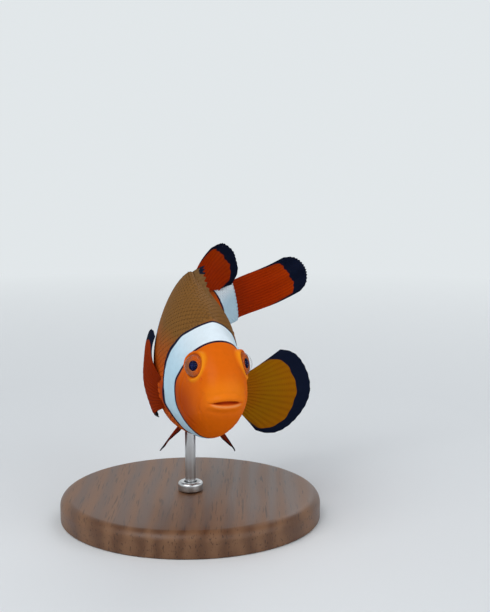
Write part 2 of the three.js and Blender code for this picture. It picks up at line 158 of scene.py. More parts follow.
# %% Spine, pose and place on the stand
YAW, PITCH, ROLL = -15.5, 4.0, 2.0
NECK_TURN, NECK = 3.0, (0.14, 0.4)
TAIL_SWING, SWING_START, SWING_POWER = 60.0, 0.35, 1.1
TAIL_LIFT, TAIL_LIFTS = 13.0, (0.45, 1)
FIN_SWING, FIN_SWINGS = 48.0, (0.95, 1.14)
FIN_LIFT, FIN_LIFTS = 16.0, (1, 1.25)
MOUTH_HEIGHT, ROD_STATION = 35.0, 0.43
SPINE_STEP, SPINE_END = 0.002, 1.4


def heading(s):
    turn = np.clip((s - SWING_START) / (1 - SWING_START), 0, 1)
    swing = TAIL_SWING * turn**SWING_POWER + FIN_SWING * ease(*FIN_SWINGS, s)
    return np.radians(YAW - NECK_TURN * ease(*NECK, s) + swing)


def tailward(s):
    up = np.radians(TAIL_LIFT * ease(*TAIL_LIFTS, s) + FIN_LIFT * ease(*FIN_LIFTS, s))
    turn = heading(s)
    return np.stack([np.sin(turn) * np.cos(up), np.cos(turn) * np.cos(up), np.sin(up)], -1)


spine_at = np.arange(0, SPINE_END + SPINE_STEP, SPINE_STEP)
steps = tailward(spine_at[:-1] + SPINE_STEP / 2) * SPINE_STEP
spine = np.vstack([np.zeros(3), np.cumsum(steps, axis=0)])


def frame_at(s):
    """The bent fish's own directions at a station: along its tail, to its left, and up."""
    along, turn = tailward(s), heading(s)
    left = np.stack([np.cos(turn), -np.sin(turn), np.zeros_like(turn)], -1)
    return along, left, np.cross(left, along)


def bend(s, l, h):
    s, l, h = (np.array(a, float) for a in np.broadcast_arrays(s, l, h))
    within = np.clip(s, 0, SPINE_END)
    start = np.stack([np.interp(within, spine_at, spine[:, k]) for k in range(3)], -1)
    along, left, up = frame_at(s)
    return (start + along * (s - within)[..., None] + left * l[..., None] + up * h[..., None]) * LENGTH


pitch = Matrix.Rotation(math.radians(PITCH), 3, "X")
roll = Matrix.Rotation(math.radians(ROLL), 3, "Y")
lean = np.array(pitch @ roll)
rod_foot = lean @ bend(ROD_STATION, 0, belly_line(ROD_STATION))
snout_height = (lean @ bend(0, 0, SNOUT_LEVEL))[2]
standing = np.array([-rod_foot[0], -rod_foot[1], MOUTH_HEIGHT - snout_height])


def place(s, l, h):
    """A point of the posed fish, in metres."""
    return (bend(s, l, h) @ lean.T + standing) * MM


def turned(direction):
    return np.asarray(direction, float) @ lean.T


mouth = place(0, 0, SNOUT_LEVEL)
print("mouth at", np.round(mouth / MM, 1), "mm")

# %% [markdown]
# ## Camera, floor and light
# The fish is small in the view, seen from a little above, with a lens of a macro's length. The camera is
# placed from the mouth: so many body lengths away, and the mouth a few degrees left of and below the
# lens's axis. The floor rises behind into a backdrop, and three large soft lamps give plain studio light.

# %% Camera
CAMERA_LENGTHS = 3.6
CAMERA_LOOKS_DOWN = math.radians(9)
MOUTH_LEFT_OF_AXIS = math.radians(0.796)
MOUTH_BELOW_AXIS = math.radians(4.402)
LENS = 74.1

sight = Vector((0, math.cos(CAMERA_LOOKS_DOWN), -math.sin(CAMERA_LOOKS_DOWN)))
sight_up = Vector((0, math.sin(CAMERA_LOOKS_DOWN), math.cos(CAMERA_LOOKS_DOWN)))
distance = CAMERA_LENGTHS * LENGTH * MM
camera = bpy.data.objects.new("camera", bpy.data.cameras.new("camera"))
camera.location = (
    Vector(mouth)
    - sight * distance
    + Vector((math.tan(MOUTH_LEFT_OF_AXIS) * distance, 0, 0))
    + sight_up * math.tan(MOUTH_BELOW_AXIS) * distance
)
camera.rotation_euler = (math.pi / 2 - CAMERA_LOOKS_DOWN, 0, 0)
camera.data.lens = LENS
camera.data.clip_start = 0.01
scene = bpy.context.scene
scene.collection.objects.link(camera)
scene.camera = camera
scene.view_settings.view_transform = "Standard"
print("camera", round(distance, 3), "m from the mouth")

# %% Lamps and sky
LAMPS = {
    "key": ((-0.30, -0.40, 0.56), 0.50, 2.9),
    "fill": ((0.50, -0.36, 0.30), 0.60, 1.3),
    "rim": ((0.16, 0.50, 0.46), 0.40, 0.9),
}
LAMPS_FACE = Vector((0, 0, 0.035))
SKY_COLOUR, SKY_STRENGTH = (0.86, 0.92, 1.0, 1), 0.36
for name, (spot, size, watts) in LAMPS.items():
    lamp = bpy.data.objects.new(name, bpy.data.lights.new(name, "AREA"))
    lamp.data.size = size
    lamp.data.energy = watts
    lamp.location = spot
    lamp.rotation_euler = (LAMPS_FACE - Vector(spot)).to_track_quat("-Z", "Y").to_euler()
    scene.collection.objects.link(lamp)
world = bpy.data.worlds.new("studio")
scene.world = world
world.use_nodes = True
sky = world.node_tree.nodes["Background"]
sky.inputs["Color"].default_value = SKY_COLOUR
sky.inputs["Strength"].default_value = SKY_STRENGTH
print("lamps:", ", ".join(LAMPS))

# %% [markdown]
# ## Shader maths as Python
# A finish is a tree of nodes. To read it like a formula, one class wraps a socket and turns Python's
# operators into Math nodes, and one method makes any other node. Sockets go by their identifiers, which
# never clash.

# %% Making nodes
class NodeTree:
    """Makes nodes by type, settings and sockets; a socket's spaces are written as underscores."""

    def node(self, kind, settings=None, result=None, **sockets):
        made = self.tree.nodes.new(kind)
        for key, value in (settings or {}).items():
            setattr(made, key, value)
        slots = {slot.identifier: slot for slot in made.inputs}
        for key, value in sockets.items():
            self.set(slots[key if key in slots else key.replace("_", " ")], value)
        outs = {slot.identifier: slot for slot in made.outputs}
        return self.wrap(outs[result] if result else made.outputs[0])

    def wrap(self, socket):
        return socket

    def set(self, slot, value):
        """Links a socket to the slot, or keeps a plain value in it."""
        value = getattr(value, "socket", value)
        if isinstance(value, bpy.types.NodeSocket):
            self.tree.links.new(value, slot)
        elif isinstance(value, tuple) and len(value) == 3 and slot.type == "RGBA":
            slot.default_value = (*value, 1)
        else:
            slot.default_value = value


# %% A value on a surface
class Field:
    """A value that varies over a surface: a node's socket, with arithmetic."""

    def __init__(self, finish, socket):
        self.finish, self.socket = finish, socket

    def __add__(self, other):
        return self.finish.maths("ADD", self, other)

    def __sub__(self, other):
        return self.finish.maths("SUBTRACT", self, other)

    def __rsub__(self, other):
        return self.finish.maths("SUBTRACT", other, self)

    def __mul__(self, other):
        return self.finish.maths("MULTIPLY", self, other)

    def __abs__(self):
        return self.finish.maths("ABSOLUTE", self)

    __radd__, __rmul__ = __add__, __mul__

    def above(self, level, soft):
        """0 under the level and 1 over it, with a soft step between."""
        return ((self - level) * (1 / soft) + 0.5).clamped()

    def clamped(self):
        return self.finish.maths("MINIMUM", self.finish.maths("MAXIMUM", self, 0), 1)

    def peak(self, level, reach):
        """1 at the level, falling to 0 at reach on both sides."""
        return (1 - abs(self - level) * (1 / reach)).clamped()


# %% A material and its nodes
class Finish(NodeTree):
    """A material and its nodes."""

    def __init__(self, name, roughness, **fixed):
        self.material = bpy.data.materials.new(name)
        self.material.use_nodes = True
        self.tree = self.material.node_tree
        self.shader = self.tree.nodes["Principled BSDF"]
        self.surface(Roughness=roughness, **fixed)

    def wrap(self, socket):
        return Field(self, socket)

    def maths(self, operation, *values):
        sockets = dict(zip(("Value", "Value_001"), values))
        return self.node("ShaderNodeMath", {"operation": operation}, **sockets)

    def reading(self, name):
        """A number kept on the mesh under that name."""
        return self.node("ShaderNodeAttribute", {"attribute_name": name}, result="Fac")

    def blend(self, share, a, b):
        """Colour a where share is 0 and b where it is 1."""
        sockets = dict(Factor_Float=share, A_Color=a, B_Color=b)
        return self.node("ShaderNodeMix", {"data_type": "RGBA"}, "Result_Color", **sockets)

    def layers(self, colour, *coats):
        """Coats of (share, colour) on a colour, one over the other."""
        for share, tint in coats:
            colour = self.blend(share, colour, tint)
        return colour

    def darker(self, colour, value):
        return self.node("ShaderNodeHueSaturation", Color=colour, Value=value)

    def coordinates(self):
        return self.node("ShaderNodeTexCoord", result="Object")

    def stretched(self, scale, turn=(0, 0, 0)):
        """Object coordinates, scaled and turned."""
        return self.node("ShaderNodeMapping", Vector=self.coordinates(), Rotation=turn, Scale=scale)

    def noise(self, scale, detail=2.0, where=None):
        return self.node("ShaderNodeTexNoise", Vector=where or self.coordinates(), Scale=scale, Detail=detail)

    def relief(self, height, distance, strength):
        bump = self.node("ShaderNodeBump", Height=height, Distance=distance, Strength=strength)
        self.surface(Normal=bump)

    def surface(self, **values):
        for socket, value in values.items():
            self.set(self.shader.inputs[socket.replace("_", " ")], value)
        return self.material


# %% [markdown]
# ## Meshes from arrays
# Grids of points become meshes with one helper. It can keep numbers on the points, such as how far a
# point lies inside a white band, which the finishes read. It also turns all faces outwards.

# %% Tools for meshes
def add_object(name, mesh):
    made = bpy.data.objects.new(name, mesh)
    scene.collection.objects.link(made)
    return made


def mesh_piece(name, points, faces, fields=None, outward=True, weld=0.0, edges=()):
    """An object from arrays, with fields kept on its points; its faces are turned outwards."""
    mesh = bpy.data.meshes.new(name)
    mesh.from_pydata(np.asarray(points).reshape(-1, 3).tolist(), edges, faces)
    for key, values in (fields or {}).items():
        values = np.asarray(values, np.float32)
        wide = values.ndim > 1 and values.shape[-1] == 3
        kind, slot = ("FLOAT_VECTOR", "vector") if wide else ("FLOAT", "value")
        mesh.attributes.new(key, kind, "POINT").data.foreach_set(slot, values.reshape(-1))
    if outward:
        work = bmesh.new()
        work.from_mesh(mesh)
        if weld:
            bmesh.ops.remove_doubles(work, verts=work.verts, dist=weld)
        bmesh.ops.recalc_face_normals(work, faces=work.faces)
        work.to_mesh(mesh)
        work.free()
    mesh.polygons.foreach_set("use_smooth", [True] * len(mesh.polygons))
    return add_object(name, mesh)


def grid_faces(rows, columns, start=0, closed=False):
    """Quads over a grid of points, rows by columns, joined round if it is closed."""
    last = columns if closed else columns - 1
    i, j = np.meshgrid(np.arange(rows - 1), np.arange(last), indexing="ij")
    k = (j + 1) % columns
    quads = np.stack([i * columns + j, i * columns + k, (i + 1) * columns + k, (i + 1) * columns + j], -1)
    return (quads.reshape(-1, 4) + start).tolist()


def tube_faces(rows, columns, seal=(True, True)):
    """Faces of rings of points, sealed at either end by a fan to one more point."""
    faces, count = grid_faces(rows, columns, closed=True), rows * columns
    j = np.arange(columns)
    k = (j + 1) % columns
    for sealed, a, b in zip(seal, (k, j + count - columns), (j, k + count - columns)):
        if sealed:
            faces += np.stack([np.full_like(j, count), a, b], -1).tolist()
            count += 1
    return faces


def border(rows, columns):
    """The points round the edge of a grid, in order."""
    grid = np.arange(rows * columns).reshape(rows, columns)
    return np.concatenate([grid[0], grid[1:-1, -1], grid[-1, ::-1], grid[-2:0:-1, 0]]).tolist()


def surface_normals(points, closed=False):
    """Unit normals of a grid of points, out of its second axis turned by its first."""
    if closed:
        round_it = (np.roll(points, -1, 1) - np.roll(points, 1, 1)) / 2
    else:
        round_it = np.gradient(points, axis=1)
    normal = np.cross(np.gradient(points, axis=0), round_it)
    size = np.linalg.norm(normal, axis=-1, keepdims=True)
    return normal / np.maximum(size, 1e-12)


def settle(piece, slot, material, *nodes):
    """The piece gets its finish, rides on the model and stands for its solids."""
    piece.data.materials.clear()
    piece.data.materials.append(material)
    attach(piece, "root")
    if nodes:
        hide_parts(*nodes)
    print(piece.name, len(piece.data.polygons), "faces")


# %% [markdown]
# ## The markings
# Three white bands with thin blue-black edges cross the fish: behind the eyes, at mid body, where it
# bulges forwards, and round the tail stalk. Each is kept as a signed distance in millimetres, so a
# finish can draw a sharp edge at any size. Skin and scales read the same numbers.

# %% Markings as numbers
def head_band_front(h):
    crown = 0.049 * ease(-0.035, 0.085, h) + 0.05 * ease(0.07, 0.138, h)
    return 0.221 - crown - 0.052 * ease(0.068, 0.17, -h)


def head_band_rear(h):
    crown = 0.045 * ease(0.02, 0.14, h) + 0.059 * ease(0.11, 0.185, h)
    return 0.296 - crown - 0.037 * ease(0.10, 0.21, -h)


def mid_band_front(h):
    return 0.545 - 0.085 * near(h, 0.01, 0.1)


def mid_band_rear(h):
    return 0.615 - 0.02 * near(h, 0, 0.1)


def tail_band_front(h):
    return 0.885 + 0.02 * near(h, 0, 0.05)


TAIL_BAND_END = 1.03
FINER_EDGE_ABOVE = 0.6
DUSK_REACH, DUSK_SOFT = (105, 60), 68
PEARL_SHADE_REACH = (28, 78)


def wobble(h, seed):
    """A living edge is never quite even."""
    return 0.0010 * np.sin(61 * h + seed) + 0.0007 * np.sin(147 * h + 2.3 * seed)


def past_edge(s, h, edge, seed):
    """Millimetres behind an edge, square to it."""
    tilt = (edge(h + 0.002) - edge(h - 0.002)) / 0.004
    return (s - edge(h) - wobble(h, seed)) / np.sqrt(1 + tilt**2) * LENGTH


def in_band(s, h):
    """Millimetres inside a white band; below 0 outside all three, faster on the crown."""
    head = np.minimum(past_edge(s, h, head_band_front, 1), -past_edge(s, h, head_band_rear, 2))
    middle = np.minimum(past_edge(s, h, mid_band_front, 3), -past_edge(s, h, mid_band_rear, 4))
    tail = np.minimum(past_edge(s, h, tail_band_front, 5), (TAIL_BAND_END - s) * LENGTH)
    inside = np.maximum(np.maximum(head, middle), tail)
    return np.where(inside > 0, inside, inside * (1 + FINER_EDGE_ABOVE * ease(0.07, 0.13, h)))


def dusk(s, angle):
    """How dusky the back is: most on the front of the trunk, none on the belly and behind."""
    reach = mix(*DUSK_REACH, ease(0.45, 0.8, s))
    down = 1 - ease(reach - DUSK_SOFT, reach, down_from_crest(angle))
    return down * ease(0.14, 0.24, s) * (1 - 0.55 * ease(0.6, 0.9, s))


def pearl_tint_and_shade(angle):
    """Blue tint and painted shade on the white: none over the crown, full on the flanks and below."""
    return ease(*PEARL_SHADE_REACH, down_from_crest(angle))


def on_face(s, h):
    return 1 - ease(-0.5, 0.5, past_edge(s, h, head_band_front, 1))


# %% [markdown]
# ## The skin
# One closed skin stands for all the solids of flesh. It starts as the same loft, with far more points,
# and is moved in and out by small amounts: lips round an open mouth, a rim round each eye, the edges of
# the gill covers, nostrils, and the fleshy roots of the pectoral fins. Where scales will lie, the skin
# sinks by their depth. A displaced loft keeps the sizes of the solids and has no seams.

# %% Places and sizes of the head's details
EYE = dict(s=0.115, l=0.064, h=0.06, radius=2.75)
ORBIT = dict(forward=30, upward=12, rim=1.15, opening=2.55, reach=4.4, brow=1.0, share=0.85)
MOUTH = dict(level=-0.022, sag=0.25, half=3.5, open_half=3.05, gape=0.50, depth=0.75, ends=0.05)
COVER = dict(s=0.23, h=-0.024, length=0.064, height=0.106, front_share=0.62)
FIN_ROOT = dict(s=0.312, h=-0.086, length=0.028, height=0.050, stands=0.75)
NOSTRIL = (0.058, 0.036)
LIP_FOLD = [(0.034, -0.004), (0.05, -0.028), (0.062, -0.062)]
JAW_FOLD = [(0.056, -0.06), (0.07, -0.1), (0.1, -0.136)]
CHEEK_LINE = [
    (0.158 + 0.012 * math.sin(t) - 0.02 * max(0, t - 1.6) ** 2, 0.015 - 0.045 * t)
    for t in np.linspace(0, 3.1, 14)
]
COAT_DEPTH = 0.12


# %% Distances on the head
def along_crease(s, h, corners):
    """Distance in millimetres from a broken line in the side view."""
    best = np.full(np.shape(s), 1e3)
    for (s0, h0), (s1, h1) in zip(corners, corners[1:]):
        ds, dh = s1 - s0, h1 - h0
        t = np.clip(((s - s0) * ds + (h - h0) * dh) / (ds * ds + dh * dh), 0, 1)
        best = np.minimum(best, np.hypot(s - s0 - t * ds, h - h0 - t * dh) * LENGTH)
    return best


def inside_cover(s, h):
    """1 in the middle of a gill cover, 0 on its edge, less outside."""
    length = COVER["length"] * np.where(s > COVER["s"], 1, COVER["front_share"])
    return 1 - np.hypot((s - COVER["s"]) / length, (h - COVER["h"]) / COVER["height"])


def from_fin_root(s, h):
    """0 in the middle of the fleshy root of a pectoral fin and 1 on its edge."""
    return np.hypot((s - FIN_ROOT["s"]) / FIN_ROOT["length"], (h - FIN_ROOT["h"]) / FIN_ROOT["height"])


def around_mouth(l, h):
    """Millimetres above the line between the lips, and half the opening there."""
    x = l * LENGTH
    above = (h - MOUTH["level"]) * LENGTH + MOUTH["sag"] * (x / MOUTH["half"]) ** 2
    return above, MOUTH["gape"] * np.clip(1 - (x / MOUTH["open_half"]) ** 2, 0, 1) ** 0.7


def around_eye(s, l, h):
    """Millimetres along and off the axis of the nearer orbit, and the shares towards snout and crown."""
    tilt, lift = math.radians(ORBIT["forward"]), math.radians(ORBIT["upward"])
    axis = np.array([math.sin(tilt) * math.cos(lift), math.cos(tilt) * math.cos(lift), math.sin(lift)])
    away = np.stack([EYE["s"] - s, np.abs(l) - EYE["l"], h - EYE["h"]], -1) * LENGTH
    along = away @ axis
    beside = away - along[..., None] * axis
    off = np.maximum(np.linalg.norm(beside, axis=-1), 1e-6)
    return along, off, beside[..., 0] / off, beside[..., 2] / off


def orbit_ridge(s, l, h):
    """The soft ridge round the front of the orbit: 1 on its crest."""
    _, off, snoutwards, _ = around_eye(s, l, h)
    return near(off, 3.12, 0.42) * ease(-0.35, 0.45, snoutwards)


def scaled(s, h):
    """Where the skin carries scales: all behind the cheeks and gill covers."""
    return ease(0.20, 0.26, s) * (1 - ease(-0.12, -0.04, inside_cover(s, h)))


# %% Relief: each line is a form's height in millimetres, times where it lies
def mouth_relief(s, l, h, flank):
    above, half_open = around_mouth(l, h)
    upper, lower = above - half_open, -above - half_open
    x, front = l * LENGTH, 1 - ease(0.035, 0.07, s)
    lips = np.clip(1 - (x / 4.3) ** 2, 0, 1) ** 0.5 * front
    slit = near(above, 0, 0.16) * (1 - ease(3.0, 3.8, np.abs(x))) * front
    return (
        0.30 * lips * near(upper, 0.52, 0.46)
        + 0.36 * lips * near(lower, 0.62, 0.50)
        - 0.12 * lips * near(upper, 1.6, 0.40)
        - 0.16 * lips * near(lower, 1.9, 0.42)
        - 0.50 * slit
        - 0.22 * near(along_crease(s, h, LIP_FOLD), 0, 0.42) * flank
        - 0.16 * near(along_crease(s, h, JAW_FOLD), 0, 0.5)
    )


def orbit_relief(s, l, h):
    """The orbit opens forwards: sunk before the eye, raised behind it, with a thin lid and a socket."""
    along, off, _, crownwards = around_eye(s, l, h)
    reach = ORBIT["reach"] - ORBIT["brow"] * ease(0, 0.8, crownwards)
    return (
        ORBIT["share"] * (1 - ease(ORBIT["opening"], reach, off)) * (ORBIT["rim"] - along)
        + 0.14 * near(off, 2.85, 0.3)
        + 0.45 * orbit_ridge(s, l, h)
        - 0.9 * (1 - ease(2.1, 2.5, off))
    )


def cheek_relief(s, h, flank):
    nostril = np.hypot(s - NOSTRIL[0], h - NOSTRIL[1]) * LENGTH
    cheek, cover = along_crease(s, h, CHEEK_LINE), inside_cover(s, h)
    rear = ease(-0.1, 0.35, (s - COVER["s"]) / COVER["length"])
    return flank * (
        0.08 * near(nostril, 0.42, 0.2)
        - 0.34 * near(nostril, 0, 0.22)
        - 0.11 * near(cheek, 0, 0.42)
        + 0.07 * near(cheek, 1.1, 0.7)
        + rear * (0.34 * ease(-0.03, 0.05, cover) - 0.16 * near(cover, -0.055, 0.035))
        + FIN_ROOT["stands"] * near(from_fin_root(s, h), 0, 1)
    )


def relief(s, angle, l, h):
    """How far the skin moves outwards, in millimetres."""
    flank = ease(0.35, 0.7, np.abs(np.sin(angle)))
    forms = mouth_relief(s, l, h, flank) + orbit_relief(s, l, h) + cheek_relief(s, h, flank)
    return forms - COAT_DEPTH * scaled(s, h)


# %% Build the skin
SKIN_RINGS, SKIN_POINTS = 330, 288
SNOUT_TIP, RINGS_CROWD_FORWARD = 0.00001, 1.7
share = (np.arange(SKIN_RINGS + 1) / SKIN_RINGS) ** RINGS_CROWD_FORWARD
round_body = np.arange(SKIN_POINTS) * 2 * np.pi / SKIN_POINTS
S, A = np.meshgrid(mix(SNOUT_TIP, 1.0, share), round_body, indexing="ij")
L, H = section(S, A)
bare = place(S, L, H)
outward = -surface_normals(bare, closed=True)
if np.sum(outward[:, SKIN_POINTS // 4] @ turned([1, 0, 0])) < 0:
    outward = -outward
skin_points = bare + outward * relief(S, A, L, H)[..., None] * MM

above_mouth, half_open = around_mouth(L, H)
at_mouth = S < MOUTH["ends"]
inside_mouth = 1 - ease(-0.22, 0.06, np.abs(above_mouth) - half_open)
inside_mouth *= ease(0.02, 0.16, half_open) * at_mouth
skin_points += inside_mouth[..., None] * MOUTH["depth"] * MM * turned(tailward(np.array(0.0)))
# painted highlight: a pale line along the top of the lower lip
lip_highlight = near(above_mouth, -half_open - 0.22, 0.2) * (1 - ease(2.4, 3.7, np.abs(L) * LENGTH)) * at_mouth
skin_fields = {
    "band": in_band(S, H),
    "dusk": dusk(S, A),
    # painted shade and tint: the bands darker and bluer on the flanks
    "pearl": pearl_tint_and_shade(A),
    "face": on_face(S, H),
    "gape": inside_mouth,
    # painted highlight along the lower lip's upper edge
    "lip": lip_highlight,
    "belly": ease(0.25, 0.9, -np.cos(A)),
    # painted highlight on the crest of the orbit's front ridge
    "orbit": orbit_ridge(S, L, H),
    # painted shade: the lower sides of the head behind the snout darker and redder
    "cheek": ease(0.03, 0.15, S) * ease(0.25, 0.85, np.abs(np.sin(A))) * ease(-0.06, 0.06, -H),
    # painted highlight on the snout above the upper lip
    "snout": (1 - ease(0.01, 0.05, S)) * near(H * LENGTH, 0.6, 3.2),
}


def with_poles(rings):
    """A point more at either end: the mean of the first and of the last ring."""
    width = rings.shape[2:]
    return np.concatenate([rings.reshape(-1, *width), [rings[0].mean(0), rings[-1].mean(0)]])


skin = mesh_piece(
    "skin", with_poles(skin_points), tube_faces(SKIN_RINGS + 1, SKIN_POINTS),
    {key: with_poles(values) for key, values in skin_fields.items()},
)
print("skin points:", len(skin.data.vertices))

# %% [markdown]
# ## The skin's finish
# Fish skin is a thin slime over colour cells, smooth and lightly coated. The orange is one colour on the
# face, dusky brown on the back and redder on the flanks, broken by a fine mottling. Over it, painted shade
# darkens the lower cheeks, and painted highlights lighten the snout, the ridges before the eyes and the lower
# lip's edge. The bands are white over the crown and pale blue on the flanks, partly a blue tint and partly
# painted shade, and their edges are blue-black.

# %% Finish of skin and scales
FACE_ORANGE = (0.76, 0.138, 0.004)
FLANK_ORANGE = (0.58, 0.082, 0.004)
BACK_BROWN = (0.225, 0.102, 0.026)
BELLY_ORANGE = (0.66, 0.115, 0.006)
BAND_WHITE = (0.80, 0.90, 0.96)
# the bands' flank colour: partly a pale blue tint, partly painted shade
BAND_PEARL_SHADED = (0.51, 0.715, 0.835)
EDGE_BLUE_BLACK = (0.006, 0.011, 0.032)
EDGE_LINE, EDGE_SOFT = 0.8, 0.12
MOTTLE_SCALE, MOTTLE_DEPTH, PATCH_SCALE = 900, 0.00004, 160
ON_THE_HEAD = [
    # painted shade on the lower cheeks
    ("cheek", 0.8, (0.38, 0.040, 0.001)),
    # painted highlight on the snout
    ("snout", 0.8, (0.88, 0.215, 0.008)),
    # painted highlight on the orbit ridge
    ("orbit", 0.8, (0.92, 0.310, 0.010)),
    # painted highlight on the lower lip's edge
    ("lip", 0.75, (0.82, 0.32, 0.11)),
    ("gape", 1, (0.62, 0.085, 0.010)),
]


def body_finish(name, on_scales):
    finish = Finish(name, roughness=0.45, Coat_Weight=0.09, Coat_Roughness=0.3, Specular_IOR_Level=0.0)
    band, back = finish.reading("band"), finish.reading("dusk")
    mottle, patches = finish.noise(MOTTLE_SCALE, 3), finish.noise(PATCH_SCALE)
    colour = finish.layers(
        FLANK_ORANGE,
        (finish.reading("belly"), BELLY_ORANGE),
        ((back * 1.15 + (patches - 0.5) * 0.5 * back).clamped(), BACK_BROWN),
        (finish.reading("face"), FACE_ORANGE),
    )
    # the white turns darker and bluer down the flanks: partly a blue tint, partly painted shade
    white = finish.blend(finish.reading("pearl"), BAND_WHITE, BAND_PEARL_SHADED)
    deeper, shade = finish.darker(colour, 0.72), finish.darker(white, 0.78)
    colour = finish.blend((mottle - 0.35) * 0.5, colour, deeper)
    white = finish.blend((mottle - 0.45) * 0.8, white, shade)
    if on_scales:
        # painted shade: each scale darker towards its rear and side edges, where it overlaps the next
        rim = finish.reading("rim")
        colour, white = finish.blend(rim * 0.4, colour, deeper), finish.blend(rim * 0.25, white, shade)
    else:
        details = [(finish.reading(field) * share, tint) for field, share, tint in ON_THE_HEAD]
        colour = finish.layers(colour, *details)
    colour = finish.layers(
        colour,
        (band.above(0, EDGE_SOFT), white),
        (band.peak(-EDGE_LINE / 2, EDGE_LINE).above(0.5, 0.3), EDGE_BLUE_BLACK),
    )
    finish.relief(mottle, MOTTLE_DEPTH, 0.5)
    return finish.surface(Base_Color=colour, Roughness=0.42 + (mottle - 0.5) * 0.3)


skin_material = body_finish("wet skin", on_scales=False)
scale_material = body_finish("wet scales", on_scales=True)
settle(
    skin, "flank_orange", skin_material, "head", "upper_lip", "lower_jaw", "head_band", "trunk", "mid_band",
    "rear_trunk", "tail_stalk", "gill_cover_left", "gill_cover_right",
)

# %% [markdown]
# ## Eyes
# A fish's eye is a ball with a flat front: a dome of clear cornea, an iris sunk behind it and a round
# lens that stands out through the pupil. The ball is one curve turned round the line of sight, so every
# ring is true. It looks well forwards, as a fish does that watches something in front of it.

# %% Turned shapes
ORIGIN, UPRIGHT, SIDEWAYS = np.zeros(3), np.array([0, 0, 1.0]), np.array([1.0, 0, 0])


def turned_shape(profile, segments, centre=ORIGIN, axis=UPRIGHT, start=SIDEWAYS, seal=(True, True)):
    """A [radius, height] profile in millimetres turned round an axis: points, faces, radii and cosines."""
    axis = axis / np.linalg.norm(axis)
    side = start - axis * (start @ axis)
    side = side / np.linalg.norm(side)
    angle = np.arange(segments) * 2 * np.pi / segments
    spoke = np.cos(angle)[:, None] * side + np.sin(angle)[:, None] * np.cross(axis, side)
    radius, height = np.array(profile, float).T
    points = centre + (radius[:, None, None] * spoke + height[:, None, None] * axis) * MM
    poles = [centre + axis * height[end] * MM for end, sealed in zip((0, -1), seal) if sealed]
    points = np.vstack([points.reshape(-1, 3), np.reshape(poles, (-1, 3))])
    radii, cosines = np.repeat(radius, segments), np.tile(np.cos(angle), len(profile))
    none = [0] * len(poles)
    return points, tube_faces(len(profile), segments, seal), np.append(radii, none), np.append(cosines, none)


def smooth_profile(profile, steps):
    """More points on a smooth curve through a profile."""
    knots = np.array(profile, float)
    at = np.append(0, np.cumsum(np.linalg.norm(np.diff(knots, axis=0), axis=1)))
    slope = np.gradient(knots, at, axis=0)
    fine = [
        span_curve(knots[i], knots[i + 1], slope[i], slope[i + 1], at[i + 1] - at[i], t)
        for i in range(len(knots) - 1)
        for t in np.arange(steps) / steps
    ]
    return np.array(fine + [knots[-1]])


# %% Eyeballs
GAZE_FORWARD = {"left": math.radians(33), "right": math.radians(43)}
GAZE_UP = math.radians(16)
EYE_SEGMENTS = 72
PUPIL = 1.12
EYE_FRONT = smooth_profile([
    (0, 2.06), (0.4, 2.02), (0.75, 1.91), (1.0, 1.76), (1.1, 1.66), (1.15, 1.57), (1.22, 1.59), (1.4, 1.62),
    (1.65, 1.62), (1.95, 1.58), (2.15, 1.54), (2.24, 1.58),
], 4)[1:]
back_angles = np.radians(np.linspace(56, 176, 28))
EYE_BACK = EYE["radius"] * np.stack([np.sin(back_angles), np.cos(back_angles)], -1)
CORNEA_RIM, CORNEA_TOP, CORNEA_THICKNESS = 2.28, 2.86, 0.10

iris = Finish("iris and pupil", roughness=0.35, Coat_Weight=0.06, Coat_Roughness=0.08, Specular_IOR_Level=0.0)
radius_mm, nasal = iris.reading("radius"), iris.reading("nasal")
amber = iris.layers(
    (0.30, 0.100, 0.040),
    # painted light: the iris brighter orange towards its upper front, partly the iris's own colour
    ((nasal * 0.5 + 0.5).above(0.42, 0.6), (0.66, 0.110, 0.003)),
    (iris.noise(1500).above(0.52, 0.3) * 0.3, (0.30, 0.05, 0.010)),
    (radius_mm.peak(1.24, 0.10) * 0.35, (0.80, 0.30, 0.06)),
    (radius_mm.above(2.0, 0.5) * 0.6, (0.30, 0.09, 0.035)),
)
pupil = iris.blend(radius_mm.above(0.55, 0.6), (0.009, 0.013, 0.072), (0.003, 0.004, 0.026))
iris_material = iris.surface(Base_Color=iris.blend(radius_mm.above(PUPIL, 0.05), pupil, amber))

# painted reflection: the cornea turns opaque and pale blue-grey towards its rim
cornea = Finish("cornea", roughness=0.04, Base_Color=(0.20, 0.25, 0.33, 1))
facing = cornea.node("ShaderNodeLayerWeight", result="Facing", Blend=0.35)
cornea_material = cornea.surface(Alpha=facing * facing * facing * facing * 0.6 + 0.01)

rim_height = math.sqrt(EYE["radius"] ** 2 - CORNEA_RIM**2)
bow = (CORNEA_RIM**2 + (CORNEA_TOP - rim_height) ** 2) / (2 * (CORNEA_TOP - rim_height))
swing = np.linspace(0.03, math.asin(CORNEA_RIM / bow), 18)
dome = np.stack([bow * np.sin(swing), CORNEA_TOP - bow * (1 - np.cos(swing))], -1)
cornea_profile = np.vstack([dome, dome[::-1] - [0, CORNEA_THICKNESS]])

